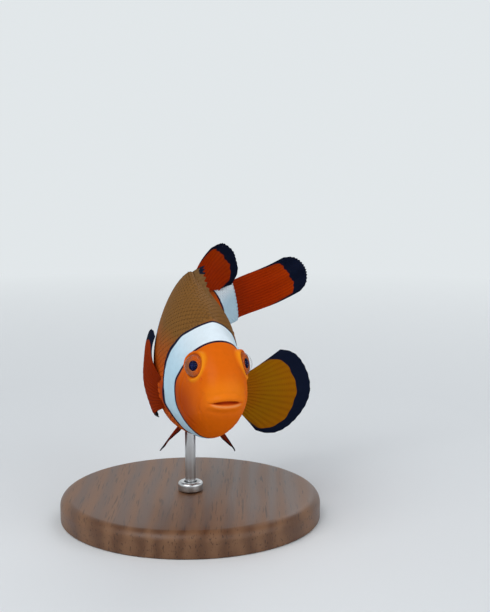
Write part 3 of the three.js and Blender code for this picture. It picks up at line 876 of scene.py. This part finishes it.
for side, name in ((1, "left"), (-1, "right")):
    along, left, up = (turned(v) for v in frame_at(np.array(EYE["s"])))
    centre = place(EYE["s"], side * EYE["l"], EYE["h"])
    forward = GAZE_FORWARD[name]
    gaze = left * side * math.cos(forward) - along * math.sin(forward) + up * math.sin(GAZE_UP)
    profile = np.vstack([EYE_FRONT, EYE_BACK])
    # the bright side of the iris is turned up as well as forwards, painted light from above
    points, faces, radii, cosines = turned_shape(profile, EYE_SEGMENTS, centre, gaze, up * 0.6 - along)
    radii[len(EYE_FRONT) * EYE_SEGMENTS:-2] = EYE["radius"]
    eyeball = mesh_piece(f"eyeball_{name}", points, faces, {"radius": radii, "nasal": cosines})
    settle(eyeball, "eye_dark", iris_material, f"eye_{name}")
    points, faces, *_ = turned_shape(cornea_profile, EYE_SEGMENTS, centre, gaze, -along)
    settle(mesh_piece(f"cornea_{name}", points, faces), "eye_dark", cornea_material)

# %% [markdown]
# ## Geometry Nodes from Python
# What repeats is made by node trees: thousands of scales, and the rays that hold the fins open. One class
# keeps the making of such a tree short. A tree's sizes are its named inputs. The evaluated result is
# turned into a plain mesh, since live instances are neither baked nor counted.

# %% Tools for Geometry Nodes
class Recipe(NodeTree):
    """A Geometry Nodes tree with named inputs."""

    KINDS = {float: "Float", int: "Int", bpy.types.Object: "Object", bpy.types.Material: "Material"}

    def __init__(self, name, **inputs):
        self.tree = bpy.data.node_groups.new(name, "GeometryNodeTree")
        self.given = {}
        self.socket("Geometry", "OUTPUT", "Geometry")
        self.socket("Geometry", "INPUT", "Geometry")
        for key, value in inputs.items():
            self.given[self.socket(key, "INPUT", self.KINDS[type(value)]).identifier] = value
        self.inputs = self.tree.nodes.new("NodeGroupInput")
        self.output = self.tree.nodes.new("NodeGroupOutput")

    def socket(self, key, way, kind):
        return self.tree.interface.new_socket(key, in_out=way, socket_type=f"NodeSocket{kind}")

    def input(self, key):
        return self.inputs.outputs[key]

    def vector(self, operation, **sockets):
        return self.node("ShaderNodeVectorMath", {"operation": operation}, **sockets)

    def reading(self, name, kind="FLOAT"):
        return self.node("GeometryNodeInputNamedAttribute", {"data_type": kind}, Name=name)

    def store(self, geometry, name, value, kind="FLOAT", domain="POINT"):
        settings = {"data_type": kind, "domain": domain}
        sockets = dict(Geometry=geometry, Name=name, Value=value)
        return self.node("GeometryNodeStoreNamedAttribute", settings, **sockets)

    def bake(self, name, base, geometry):
        """Ends the tree, evaluates it on the base object and returns a plain object."""
        whole = self.node("GeometryNodeRealizeInstances", Geometry=geometry)
        dressed = self.node("GeometryNodeSetMaterial", Geometry=whole, Material=self.input("Material"))
        self.tree.links.new(dressed, self.output.inputs[0])
        modifier = base.modifiers.new(name, "NODES")
        modifier.node_group = self.tree
        for identifier, value in self.given.items():
            modifier[identifier] = value
        graph = bpy.context.evaluated_depsgraph_get()
        mesh = bpy.data.meshes.new_from_object(base.evaluated_get(graph))
        mesh.name = name
        mesh.polygons.foreach_set("use_smooth", [True] * len(mesh.polygons))
        made = add_object(name, mesh)
        bpy.data.objects.remove(base)
        return made


# %% [markdown]
# ## Scales
# Clownfish scales are thin shields that overlap towards the tail like roof tiles, each row half a scale
# behind the next. The lattice is laid on the skin in rows along the back, a fixed arc apart, and a node
# tree stands one small domed shield on each point, turned by the skin's own directions. A shield is a
# closed solid of few faces. Its marking is read from the skin under it, so the bands cross the coat.

# %% The shield
SCALE_WIDTH, SCALE_LENGTH = 1.52, 1.95
SHIELD_ACROSS, SHIELD_ALONG = 5, 4
SHIELD_WIDEST, SHIELD_HEEL = 0.55, 0.45


def shield():
    """One scale: x across, y towards the tail, z outwards, about one unit wide."""
    points, rim = [], []
    for v in np.linspace(0, 1, SHIELD_ALONG + 1):
        half = 0.5 * (1 - 0.16 * (1 - v) ** 2)
        if v >= SHIELD_WIDEST:
            half *= math.sqrt(max(0, 1 - ((v - SHIELD_WIDEST) / 0.60) ** 2))
        for x in np.linspace(-1, 1, SHIELD_ACROSS):
            y = v - SHIELD_HEEL - 0.10 * x * x * (1 - v)
            z = mix(-0.075, 0.070, v) + 0.05 * math.sin(math.pi * v) - 0.055 * x * x - 0.05 * v**6
            points.append((x * half, y, z))
            # rim marks where a scale's edges get painted shade
            rim.append(max(ease(0.6, 1, v), ease(0.55, 1.0, abs(x)) * ease(0.2, 0.6, v)))
    rows = SHIELD_ALONG + 1
    faces = grid_faces(rows, SHIELD_ACROSS) + [border(rows, SHIELD_ACROSS)[::-1]]
    return mesh_piece("shield", points, faces, {"rim": rim, "place": np.array(points)})


one_scale = shield()
print("faces in one scale:", len(one_scale.data.polygons))

# %% The lattice of scales
ROW_GAP, COLUMN_GAP = 0.72, 1.26
FIRST_SCALE, LAST_SCALE = 0.222, 0.985
ROWS, ARC_STEPS = 72, 181
TAIL_SCALES_SMALLER, FIRST_SCALES_SHARE, BELLY_SCALES_SHARE = 0.28, 0.80, 0.86
SIZES_VARY = (0.97, 1.03)
BARE_BEHIND_BAND, BARE_PAST_COVER = 0.5, 0.13
STANDS_OFF = 0.02


def lateral_arc(s):
    """(angle, arc) round one half of a section: millimetres down from the crest of the back."""
    angle = np.linspace(0, np.pi, ARC_STEPS)
    l, h = section(np.full_like(angle, s), angle)
    return angle, np.append(0, np.cumsum(np.hypot(np.diff(l), np.diff(h)))) * LENGTH


def taper(s):
    """Scales get smaller on the tail stalk."""
    return 1 - TAIL_SCALES_SMALLER * float(ease(0.75, 1.0, s))


def bare_place(s, h):
    """No scales on the head band, the gill covers and the roots of the pectoral fins."""
    behind_band = past_edge(s, h, head_band_rear, 2) >= BARE_BEHIND_BAND
    return not behind_band or inside_cover(s, h) > -BARE_PAST_COVER or from_fin_root(s, h) < 1


def lattice(side, seed):
    """Roots of the scales of one side: stations, angles, heights on the unwrap, and sizes."""
    chance = random.Random(seed)
    roots = []
    half_columns = [FIRST_SCALE]
    while half_columns[-1] < LAST_SCALE:
        half_columns.append(half_columns[-1] + COLUMN_GAP / LENGTH / 2 * taper(half_columns[-1]))
    arcs = [lateral_arc(s) for s in half_columns]
    for row in range(0 if side > 0 else 1, ROWS):
        for s, (angle, arc) in list(zip(half_columns, arcs))[row % 2::2]:
            w = row * ROW_GAP * taper(s)
            if w > arc[-1] - 0.1:
                continue
            a = float(np.interp(w, arc, angle)) * side
            _, h = section(np.array(s), np.array(a))
            if bare_place(s, h):
                continue
            size = taper(s) * mix(FIRST_SCALES_SHARE, 1, float(ease(0.22, 0.34, s)))
            size *= mix(BELLY_SCALES_SHARE, 1, float(ease(0.3, 3.0, arc[-1] - w)))
            mid_flank = np.interp(90, np.degrees(angle), arc)
            roots.append((s, a, mid_flank - w, size * chance.uniform(*SIZES_VARY)))
    return np.array(roots)


def skin_directions(s, a):
    """Outward and tailward directions of the skin at stations and angles."""
    step = 0.002
    behind = place(s + step, *section(s + step, a)) - place(s - step, *section(s - step, a))
    around = place(s, *section(s, a + step)) - place(s, *section(s, a - step))
    out = np.cross(around, behind)
    centre = place(s, np.zeros_like(s), section_middle(s))
    out *= np.sign(np.sum(out * (place(s, *section(s, a)) - centre), -1, keepdims=True))
    return tuple(v / np.linalg.norm(v, axis=-1, keepdims=True) for v in (out, behind))


# %% Two coats of scales
UNWRAP_EDGE, UNWRAP_REACH, UNWRAP_PATCH = 0.03, 25.0, 0.003
for side, name in ((1, "left"), (-1, "right")):
    s, a, w, size = lattice(side, seed=7 + side).T
    out, behind = skin_directions(s, a)
    l, h = section(s, a)
    roots = place(s, l, h) + out * (relief(s, a, l, h) + STANDS_OFF)[:, None] * MM
    # the unwrap has stations across it, and arcs from the mid flank up and down
    unwrapped = np.stack([
        mix(UNWRAP_EDGE, 1 - UNWRAP_EDGE, (s - FIRST_SCALE) / (1 - FIRST_SCALE)),
        0.5 + w / UNWRAP_REACH * (0.5 - UNWRAP_EDGE), np.zeros_like(s)], -1)
    bed = mesh_piece("roots", roots, [], {"out": out, "behind": behind, "size": size, "unwrapped": unwrapped})

    coat = Recipe(
        f"scales {name}", Scale=one_scale, Skin=skin, Width=SCALE_WIDTH * MM, Length=SCALE_LENGTH * MM,
        Patch=UNWRAP_PATCH, Material=scale_material,
    )
    outwards, tailwards, on_shield, on_unwrap = (
        coat.reading(key, "FLOAT_VECTOR") for key in ("out", "behind", "place", "unwrapped"))
    scale, under = (
        coat.node("GeometryNodeObjectInfo", result="Geometry", Object=coat.input(key))
        for key in ("Scale", "Skin"))
    on_roots = coat.node("GeometryNodeMeshToPoints", Mesh=coat.input("Geometry"))
    axes = {"primary_axis": "Z", "secondary_axis": "Y"}
    turn = coat.node("FunctionNodeAxesToRotation", axes, Primary_Axis=outwards, Secondary_Axis=tailwards)
    width, length = coat.input("Width"), coat.input("Length")
    sizes = coat.node("ShaderNodeCombineXYZ", X=width, Y=length, Z=width)
    sizes = coat.vector("SCALE", Vector=sizes, Scale=coat.reading("size"))
    tiled = coat.node(
        "GeometryNodeInstanceOnPoints", Points=on_roots, Instance=scale, Rotation=turn, Scale=sizes)
    tiled = coat.node("GeometryNodeRealizeInstances", Geometry=tiled)
    for marking in ("band", "dusk", "belly", "pearl"):
        read = coat.node("GeometryNodeSampleNearestSurface", Mesh=under, Value=coat.reading(marking))
        tiled = coat.store(tiled, marking, read)
    spread = coat.vector("SCALE", Vector=on_shield, Scale=coat.input("Patch"))
    patch = coat.vector("ADD", Vector=on_unwrap, Vector_001=spread)
    scales = coat.bake(f"scales_{name}", bed, coat.store(tiled, "OFBake", patch, "FLOAT2", "CORNER"))
    print(len(s), "scales on the", name, "side;", [uv.name for uv in scales.data.uv_layers])
    settle(scales, "flank_orange", scale_material)
bpy.data.objects.remove(one_scale)

# %% [markdown]
# ## Fins
# A fin is a thin skin over a fan of bony rays. Spines are single; soft rays split in two, and again near
# the edge. The web between them is thinner and a little hollow, and the edge dips between rays. Each fin
# is one function of u, from ray to ray, and v, along a ray. The web is a closed grid on it, and a node
# tree turns lines on it into tapering rays.

# %% Sizes of web and rays
WEB_EDGE, WEB_ROOT, WEB_HOLLOW = 0.09, 0.30, 0.45
WEB_PER_RAY, WEB_ROWS, WEB_WAVES = 8, 44, 2.3
SPINE = dict(v=(0, 0.985), girth=(0.255, 0.05), steps=40)
STEM = dict(v=(0, 0.42), girth=(0.2125, 0.1445), steps=26)
FORK = dict(v=(0.40, 0.70), girth=(0.1224, 0.0935), steps=18)
TWIG = dict(v=(0.68, 0.975), girth=(0.085, 0.045), steps=16)
FORK_SPREAD, TWIG_SPREAD, RAY_BEND = 0.155, 0.105, 0.7
OUTERMOST, OUTERMOST_TWIG = 0.004, 0.003
SIDE_WIDTH, CORNER_SHARE = 9.0, 0.3


# %% The reach and the black margin of a fin
def lobe(least, more, start, end, power):
    """The reach of a fin's rays: an arch over the fin."""
    return lambda u: least + more * arch(u, start, end, power)


def black_depth(u, v, reach, tip, sides):
    """Millimetres inside a fin's black margin: wide at the tips of its rays, narrow along its sides."""
    from_tip = (1 - v) * reach(u) * LENGTH
    from_side = np.minimum(u, 1 - u) * SIDE_WIDTH * v
    waver = 0.16 * np.sin(23 * u + 1.3) + 0.10 * np.sin(51 * u)
    return np.maximum(tip(u) + waver - from_tip, sides * ease(0.35, 1, v) - 0.15 - from_side)


# %% The web and the rays of a fin
def fin(name, look, shape, rays, tip, sides, dip, spines=0, ripple=0.25, roll=0.0, corner=0.1):
    """A fin's web and rays, in place of its solid."""
    (slot, material), (point, reach) = look, shape
    gaps = rays - 1

    def kept(u):
        """The share of a ray's length left by the rounding of the fin's two corners."""
        return 1 - corner * np.clip((np.abs(2 * u - 1) - 1 + CORNER_SHARE) / CORNER_SHARE, 0, 1) ** 2

    def black(u, v):
        return black_depth(u, v / kept(u), reach, tip, sides)

    def wave(u, v):
        return (ripple * MM * v**2 * np.sin(2 * np.pi * (u * WEB_WAVES + roll)))[..., None]

    columns, rows = gaps * WEB_PER_RAY + 1, WEB_ROWS + 1
    U, V = np.meshgrid(np.linspace(0, 1, columns), np.linspace(0, 1, rows), indexing="ij")
    between = np.abs(np.sin(np.pi * gaps * U))
    V2 = V * (kept(U) - dip * between**2)
    sheet = point(U, V2)
    normal = surface_normals(sheet)
    sheet = sheet + normal * wave(U, V2)
    thick = mix(WEB_ROOT, WEB_EDGE, V) * (1 - WEB_HOLLOW * between)
    half_thick = normal * thick[..., None] * MM / 2
    count = rows * columns
    faces = grid_faces(columns, rows) + [f[::-1] for f in grid_faces(columns, rows, start=count)]
    edge = border(columns, rows)
    faces += [[b, a, a + count, b + count] for a, b in zip(edge, edge[1:] + edge[:1])]
    fields = {"black": black(U, V2), "along": V2, "across": U * gaps}
    fields = {key: np.tile(values.reshape(-1), 2) for key, values in fields.items()}
    web = mesh_piece(f"{name}_web", np.stack([sheet + half_thick, sheet - half_thick]), faces, fields)
    settle(web, slot, material, f"fin_{name}")

    lines, joins, numbers = [], [], []

    def line(u_start, u_end, part):
        steps = part["steps"]
        t = np.linspace(0, 1, steps)
        u = mix(u_start, u_end, ease(0, 1, t * RAY_BEND) / ease(0, 1, RAY_BEND))
        v = mix(*part["v"], t) * kept(u)
        out = np.cross(point(u, v + 0.01) - point(u, v - 0.01), point(u + 0.004, v) - point(u - 0.004, v))
        out /= np.linalg.norm(out, axis=-1, keepdims=True)
        if np.sum(out[-1] * normal[int(round(np.clip(u[-1], 0, 1) * (columns - 1))), -1]) < 0:
            out = -out
        first = sum(map(len, lines))
        lines.append(point(u, v) + out * wave(u, v))
        joins.extend((first + k, first + k + 1) for k in range(steps - 1))
        numbers.append([mix(*part["girth"], t) * MM, black(u, v), v, u * gaps])

    def aside(u, share, least=OUTERMOST):
        """Beside a line by a share of a gap, but never on the fin's very side."""
        return np.clip(u + share / gaps, least, 1 - least)

    for ray in range(rays):
        u = aside(ray / gaps, 0)
        if ray < spines:
            line(u, u, SPINE)
            continue
        line(u, u, STEM)
        for way in (-1, 1):
            fork = aside(u, way * FORK_SPREAD)
            line(u, fork, FORK)
            for twig in (-1, 1):
                line(fork, aside(fork, twig * TWIG_SPREAD, OUTERMOST_TWIG), TWIG)
    fields = dict(zip(("girth", "black", "along", "across"), np.hstack(numbers)))
    wires = mesh_piece("ray lines", np.vstack(lines), [], fields, outward=False, edges=joins)

    tubes = Recipe(f"rays of {name}", Sides=6, Girth=1.0, Material=material)
    curves = tubes.node("GeometryNodeMeshToCurve", Mesh=tubes.input("Geometry"))
    facets, size, girths = tubes.input("Sides"), tubes.input("Girth"), tubes.reading("girth")
    ring = tubes.node("GeometryNodeCurvePrimitiveCircle", Resolution=facets, Radius=size)
    solid = tubes.node(
        "GeometryNodeCurveToMesh", Curve=curves, Profile_Curve=ring, Scale=girths, Fill_Caps=True)
    settle(tubes.bake(f"{name}_rays", wires, solid), slot, material)


# %% [markdown]
# ## The finish of the fins
# The fins are red-orange with a wide blue-black margin. Pigment lies thicker over the rays, so they draw
# fine darker lines. A ray is jointed, which shows as faint cross-bars. The margin is the same signed
# distance on web and rays.

# %% Finishes of the fins
FIN_BLACK = (0.005, 0.008, 0.022)
SPECK_SCALE, SPECK_DEPTH = 700, 0.00004
JOINTS = 34


def fin_look(slot, name, root, blade, tip_tint, ray_tint):
    """A slot and its finish."""
    finish = Finish(name, roughness=0.45, Coat_Weight=0.04, Coat_Roughness=0.3, Specular_IOR_Level=0.0)
    along, across, black = finish.reading("along"), finish.reading("across"), finish.reading("black")
    speck = finish.noise(SPECK_SCALE, 3)
    beside = finish.maths("PINGPONG", across, 0.5)
    joints = finish.maths("PINGPONG", along * JOINTS, 0.5)
    colour = finish.layers(
        root,
        (along.above(0.22, 0.4), blade),
        (along.above(0.75, 0.45) * 0.7, tip_tint),
        ((1 - beside * 2.6).clamped() * 0.3, ray_tint),
        ((0.16 - joints).above(0, 0.12) * (1 - beside * 3.2).clamped() * 0.35, ray_tint),
        ((speck - 0.4) * 0.35, ray_tint),
        (black.above(0, 0.22), FIN_BLACK),
    )
    finish.relief(speck, SPECK_DEPTH, 0.4)
    return slot, finish.surface(Base_Color=colour, Roughness=0.38 + (speck - 0.5) * 0.3)


red_fin = fin_look(
    "fin_red_orange", "red-orange fin",
    (0.30, 0.022, 0.001), (0.37, 0.029, 0.001), (0.44, 0.050, 0.001), (0.20, 0.012, 0.001))
# painted shade: a darker copy of the red-orange fin, for the right pectoral fin that lies in shade
shaded_red_fin = fin_look(
    "fin_red_orange", "shaded red fin",
    (0.19, 0.017, 0.001), (0.27, 0.024, 0.001), (0.34, 0.044, 0.001), (0.13, 0.009, 0.001))
amber_fin = fin_look(
    "fin_amber", "amber fin",
    (0.34, 0.076, 0.001), (0.30, 0.116, 0.001), (0.38, 0.106, 0.001), (0.20, 0.056, 0.001))
dusky_fin = fin_look(
    "back_brown", "dusky fin",
    (0.190, 0.100, 0.036), (0.185, 0.100, 0.036), (0.20, 0.100, 0.034), (0.12, 0.055, 0.018))


# %% [markdown]
# ## Fins on the midline
# The spiny dorsal fin, the soft dorsal fin and the anal fin stand on the body's edge. A ray starts just
# inside the body and leans back, more towards the rear, and its height follows a rounded lobe.

# %% Dorsal and anal fins
ROOT_DEPTH = 0.02
LEANS_MORE = 8


def midline(edge, side, start, stop, lean_from, lean_to, reach, sway):
    def point(u, v):
        s = mix(start, stop, u)
        tilt = np.radians(mix(lean_from, lean_to, u) + LEANS_MORE * v)
        length = (ROOT_DEPTH + reach(u)) * v
        rise = np.cos(tilt) * length - ROOT_DEPTH
        return place(s + np.sin(tilt) * length, sway * v * v, edge(s) + side * rise)
    return point, reach


fin("dorsal_spiny", dusky_fin,
    midline(back_line, 1, 0.285, 0.575, 56, 58, lobe(0.026, 0.036, 0.05, 0.9, 1), 0.045), 11,
    tip=lambda u: 1.2 * ease(0.4, 0.6, u) - 0.1, sides=0.0, dip=0.10, spines=11, ripple=0.1)
fin("dorsal_soft", red_fin,
    midline(back_line, 1, 0.665, 0.89, 45, 62, lobe(0.03, 0.17, 0.2, 0.995, 0.5), 0.05), 14,
    tip=lambda u: 1.7 + 1.1 * near(u, 0.5, 0.35), sides=0.7, dip=0.010)
fin("anal", red_fin,
    midline(belly_line, -1, 0.625, 0.87, 30, 70, lobe(0.045, 0.125, 0.08, 0.97, 0.6), 0.01), 13,
    tip=lambda u: 1.7 + 1.0 * near(u, 0.5, 0.35), sides=0.7, dip=0.010, spines=2, roll=0.3)

# %% [markdown]
# ## Tail fin
# The tail fin is folded by the turn, so its rays run nearly side by side to a rounded end.

# %% Tail fin
TAIL_ROOT, TAIL_ROOT_TOP, TAIL_ROOT_FOOT = 0.975, 0.078, -0.062
TAIL_FAN = (2.6, 3)


tail_reach = lobe(0.27, 0.047, 0, 1, 0.6)


def tail_point(u, v):
    fan, length = np.radians(mix(*TAIL_FAN, u)), tail_reach(u) * v
    h = mix(TAIL_ROOT_TOP, TAIL_ROOT_FOOT, u) + np.sin(fan) * length
    return place(TAIL_ROOT + np.cos(fan) * length, 0, h)


fin("tail", red_fin, (tail_point, tail_reach), 15,
    tip=lambda u: 3.4 + 1.4 * near(u, 0.45, 0.4), sides=0.7, dip=0.010, roll=0.15, corner=0.04)

# %% [markdown]
# ## Paired fins
# The pectoral fins are the fish's oars. The left one is held out and shows its amber inner face, and the
# right one lies back along the flank, painted darker as in shade. The pelvic fins are pointed and folded
# under the belly.

# %% Pectoral and pelvic fins
pectoral_reach = lobe(0.085, 0.21, 0.15, 0.93, 0.75)
pelvic_reach = lobe(0.1, 0.13, 0.25, 0.99, 0.7)


def paddle(root_top, root_foot, out, top, fan_up, fan_down, reach, cup, bow=0.0):
    """A fan from a root line: degrees above and below a direction out of the body, cupped and bowed."""
    first, last = place(*root_top), place(*root_foot)
    middle = turned(out) / np.linalg.norm(out)
    rise = turned(top) - middle * (turned(top) @ middle)
    rise /= np.linalg.norm(rise)
    flat = np.cross(middle, rise)

    def point(u, v):
        angle = np.radians(mix(fan_up, -fan_down, u))
        length = reach(u) * v
        ways = ((middle, np.cos(angle) * length), (rise, np.sin(angle) * length),
                (flat, cup * v * v + 4 * bow * v * (1 - v)))
        start = first + (last - first) * np.asarray(u)[..., None]
        return start + sum(way * much[..., None] for way, much in ways) * LENGTH * MM
    return point, reach


fin("pectoral_left", amber_fin,
    paddle((0.3, 0.108, -0.05), (0.315, 0.1, -0.12), (0.82, 0.45, -0.06), (0, 0.12, 1), 29, 44,
           pectoral_reach, -0.02),
    17, tip=lambda u: 4.4 - 2.2 * ease(0.35, 0.95, u), sides=0.55, dip=0.006, roll=0.2, corner=0.05)
# the right pectoral fin gets the darker copy: painted shade
fin("pectoral_right", shaded_red_fin,
    paddle((0.3, -0.108, -0.05), (0.315, -0.1, -0.12), (-0.34, 0.85, 0.06), (0, -0.15, 1), 38, 36,
           pectoral_reach, 0.02, -0.03),
    17, tip=lambda u: 3.2 - 1.4 * ease(0.35, 0.95, u), sides=0.55, dip=0.010, roll=0.4)
for side, name in ((1, "left"), (-1, "right")):
    fin(f"pelvic_{name}", red_fin,
        paddle((0.33, side * 0.04, -0.17), (0.365, side * 0.02, -0.18), (side * 0.36, 0.75, -0.62),
               (side * 0.35, -0.6, -0.3), 16, 18, pelvic_reach, side * 0.012),
        6, tip=lambda u: 3.0 - 1.2 * u, sides=0.5, dip=0.03, spines=1, ripple=0.12)

# %% [markdown]
# ## The stand
# The model needs a plain stand: a turned hardwood disc, a steel rod into the belly and a small collar
# where they meet. All three are turned shapes with small rounded edges, in the places of their solids.

# %% Finishes of the stand
wood = Finish("oiled walnut", roughness=0.5, Coat_Weight=0.1, Coat_Roughness=0.3, Specular_IOR_Level=0.35)
bent = wood.noise(22, 3, where=wood.stretched((1, 0.18, 1)))
rings = wood.node(
    "ShaderNodeTexWave", {"wave_type": "BANDS", "bands_direction": "X"},
    Vector=wood.stretched((1, 0.16, 1), (0.06, 0, 0.10)), Scale=62, Distortion=5.5, Detail=3,
    Detail_Scale=1.2, Detail_Roughness=0.6,
)
pores = wood.noise(1, where=wood.stretched((2600, 130, 1400), (0, 0, 0.10)))
grain = wood.layers(
    (0.115, 0.048, 0.020),
    (rings, (0.205, 0.098, 0.045)),
    ((bent - 0.35) * 0.9, (0.080, 0.034, 0.016)),
    (pores.above(0.64, 0.1) * 0.65, (0.035, 0.015, 0.008)),
)
wood.relief(pores, 0.00006, 0.5)
walnut = wood.surface(Base_Color=grain, Roughness=0.40 + rings * 0.12)

steel = Finish("brushed steel", roughness=0.3, Metallic=1.0, Base_Color=(0.56, 0.57, 0.58, 1))
brushing = steel.noise(1, 3, where=steel.stretched((400, 400, 9000)))
steel.relief(brushing, 0.00001, 0.5)
brushed = steel.surface(Roughness=0.24 + brushing * 0.16)

# %% Turned pieces
BASE_RADIUS, BASE_HEIGHT = 31.0, 6.0
ROD_RADIUS, ROD_DEPTH = 1.25, 5.0
COLLAR_RADIUS, COLLAR_HEIGHT = 3.0, 2.4
GAP = 0.3
WELD = 1e-7


def rounded(radius, height, rounding, quarter, steps=8):
    """A rounded corner of a profile. Quarter 0 is at its foot outside, 1 at its top outside, 2 inside."""
    inwards, upwards = ((-1, 1), (-1, -1), (1, -1))[quarter]
    return [
        (radius + rounding * (inwards + math.cos(a)), height + rounding * (upwards + math.sin(a)))
        for a in np.radians(np.linspace(90 * quarter - 90, 90 * quarter, steps))
    ]


def turned_piece(name, profile, segments, slot, material, node, hollow=False):
    points, faces, *_ = turned_shape(profile, segments, seal=(not hollow, not hollow))
    settle(mesh_piece(name, points, faces, weld=WELD if hollow else 0), slot, material, node)


on_base = BASE_HEIGHT + GAP
rod_top = (rod_foot + standing)[2] + ROD_DEPTH
collar_top, collar_bore = BASE_HEIGHT + COLLAR_HEIGHT, ROD_RADIUS + GAP
turned_piece(
    "stand_disc",
    [(0.4, 0), (BASE_RADIUS - 2, 0)] + rounded(BASE_RADIUS, 0, 0.5, 0)
    + rounded(BASE_RADIUS, BASE_HEIGHT, 2.4, 1, 14) + [(r, BASE_HEIGHT) for r in (26, 20, 12, 6, 0.4)],
    144, "base_wood", walnut, "stand_base",
)
turned_piece(
    "stand_pin",
    [(0.05, on_base)] + rounded(ROD_RADIUS, on_base, 0.2, 0) + rounded(ROD_RADIUS, rod_top, 0.3, 1)
    + [(0.05, rod_top)],
    48, "rod_steel", brushed, "stand_rod",
)
turned_piece(
    "stand_ring",
    [(collar_bore, on_base)] + rounded(COLLAR_RADIUS, on_base, 0.2, 0)
    + rounded(COLLAR_RADIUS, collar_top, 0.7, 1) + rounded(collar_bore, collar_top, 0.15, 2)
    + [(collar_bore, on_base)],
    64, "rod_steel", brushed, "stand_collar", hollow=True,
)

# %% [markdown]
# ## Floor and background
# A round floor whose edge sweeps up all round gives a pale, even background from every side, and keeps
# the model's shadow.

# %% Floor
FLOOR_COLOUR, BACKDROP_COLOUR = (0.80, 0.82, 0.83, 1), (0.76, 0.80, 0.82)
FLAT_RADIUS, WALL_RADIUS, WALL_HEIGHT = 800.0, 1500.0, 1100.0
SEEN_BY = ("Is Camera Ray", "Is Glossy Ray", "Is Transmission Ray")

sweep = [(r, 0) for r in (1, 60, 200, 500, FLAT_RADIUS)]
for t in np.linspace(0.08, math.pi / 2, 24):
    sweep.append((mix(FLAT_RADIUS, WALL_RADIUS, math.sin(t)), WALL_HEIGHT * (1 - math.cos(t))))
points, faces, *_ = turned_shape(sweep, 96, seal=(True, False))
floor = mesh_piece("floor", points, faces, outward=False)
paper = Finish("paper sweep", roughness=0.9, Base_Color=FLOOR_COLOUR)
tooth = paper.noise(900)
paper.relief(tooth, 0.00003, 0.3)
paper.surface(Roughness=0.86 + tooth * 0.1)
camera_ray, glossy_ray, clear_ray = (paper.node("ShaderNodeLightPath", result=ray) for ray in SEEN_BY)
far = paper.node("ShaderNodeVectorMath", {"operation": "LENGTH"}, "Value", Vector=paper.coordinates())
even = far.above(0.30, 0.30) * (camera_ray + glossy_ray + clear_ray).clamped()
glow = paper.node("ShaderNodeEmission", Color=BACKDROP_COLOUR, Strength=1.0)
both = paper.node("ShaderNodeMixShader", Fac=even, Shader=paper.shader.outputs[0], Shader_001=glow)
paper.set(paper.tree.nodes["Material Output"].inputs["Surface"], both)
floor.data.materials.append(paper.material)
floor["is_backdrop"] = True

# %% Sizes, and the end
made_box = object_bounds()
sizes = {"solid": [list(corner) for corner in solid_box], "shown": [list(corner) for corner in made_box]}
print("solid box", sizes["solid"], "shown box", sizes["shown"])
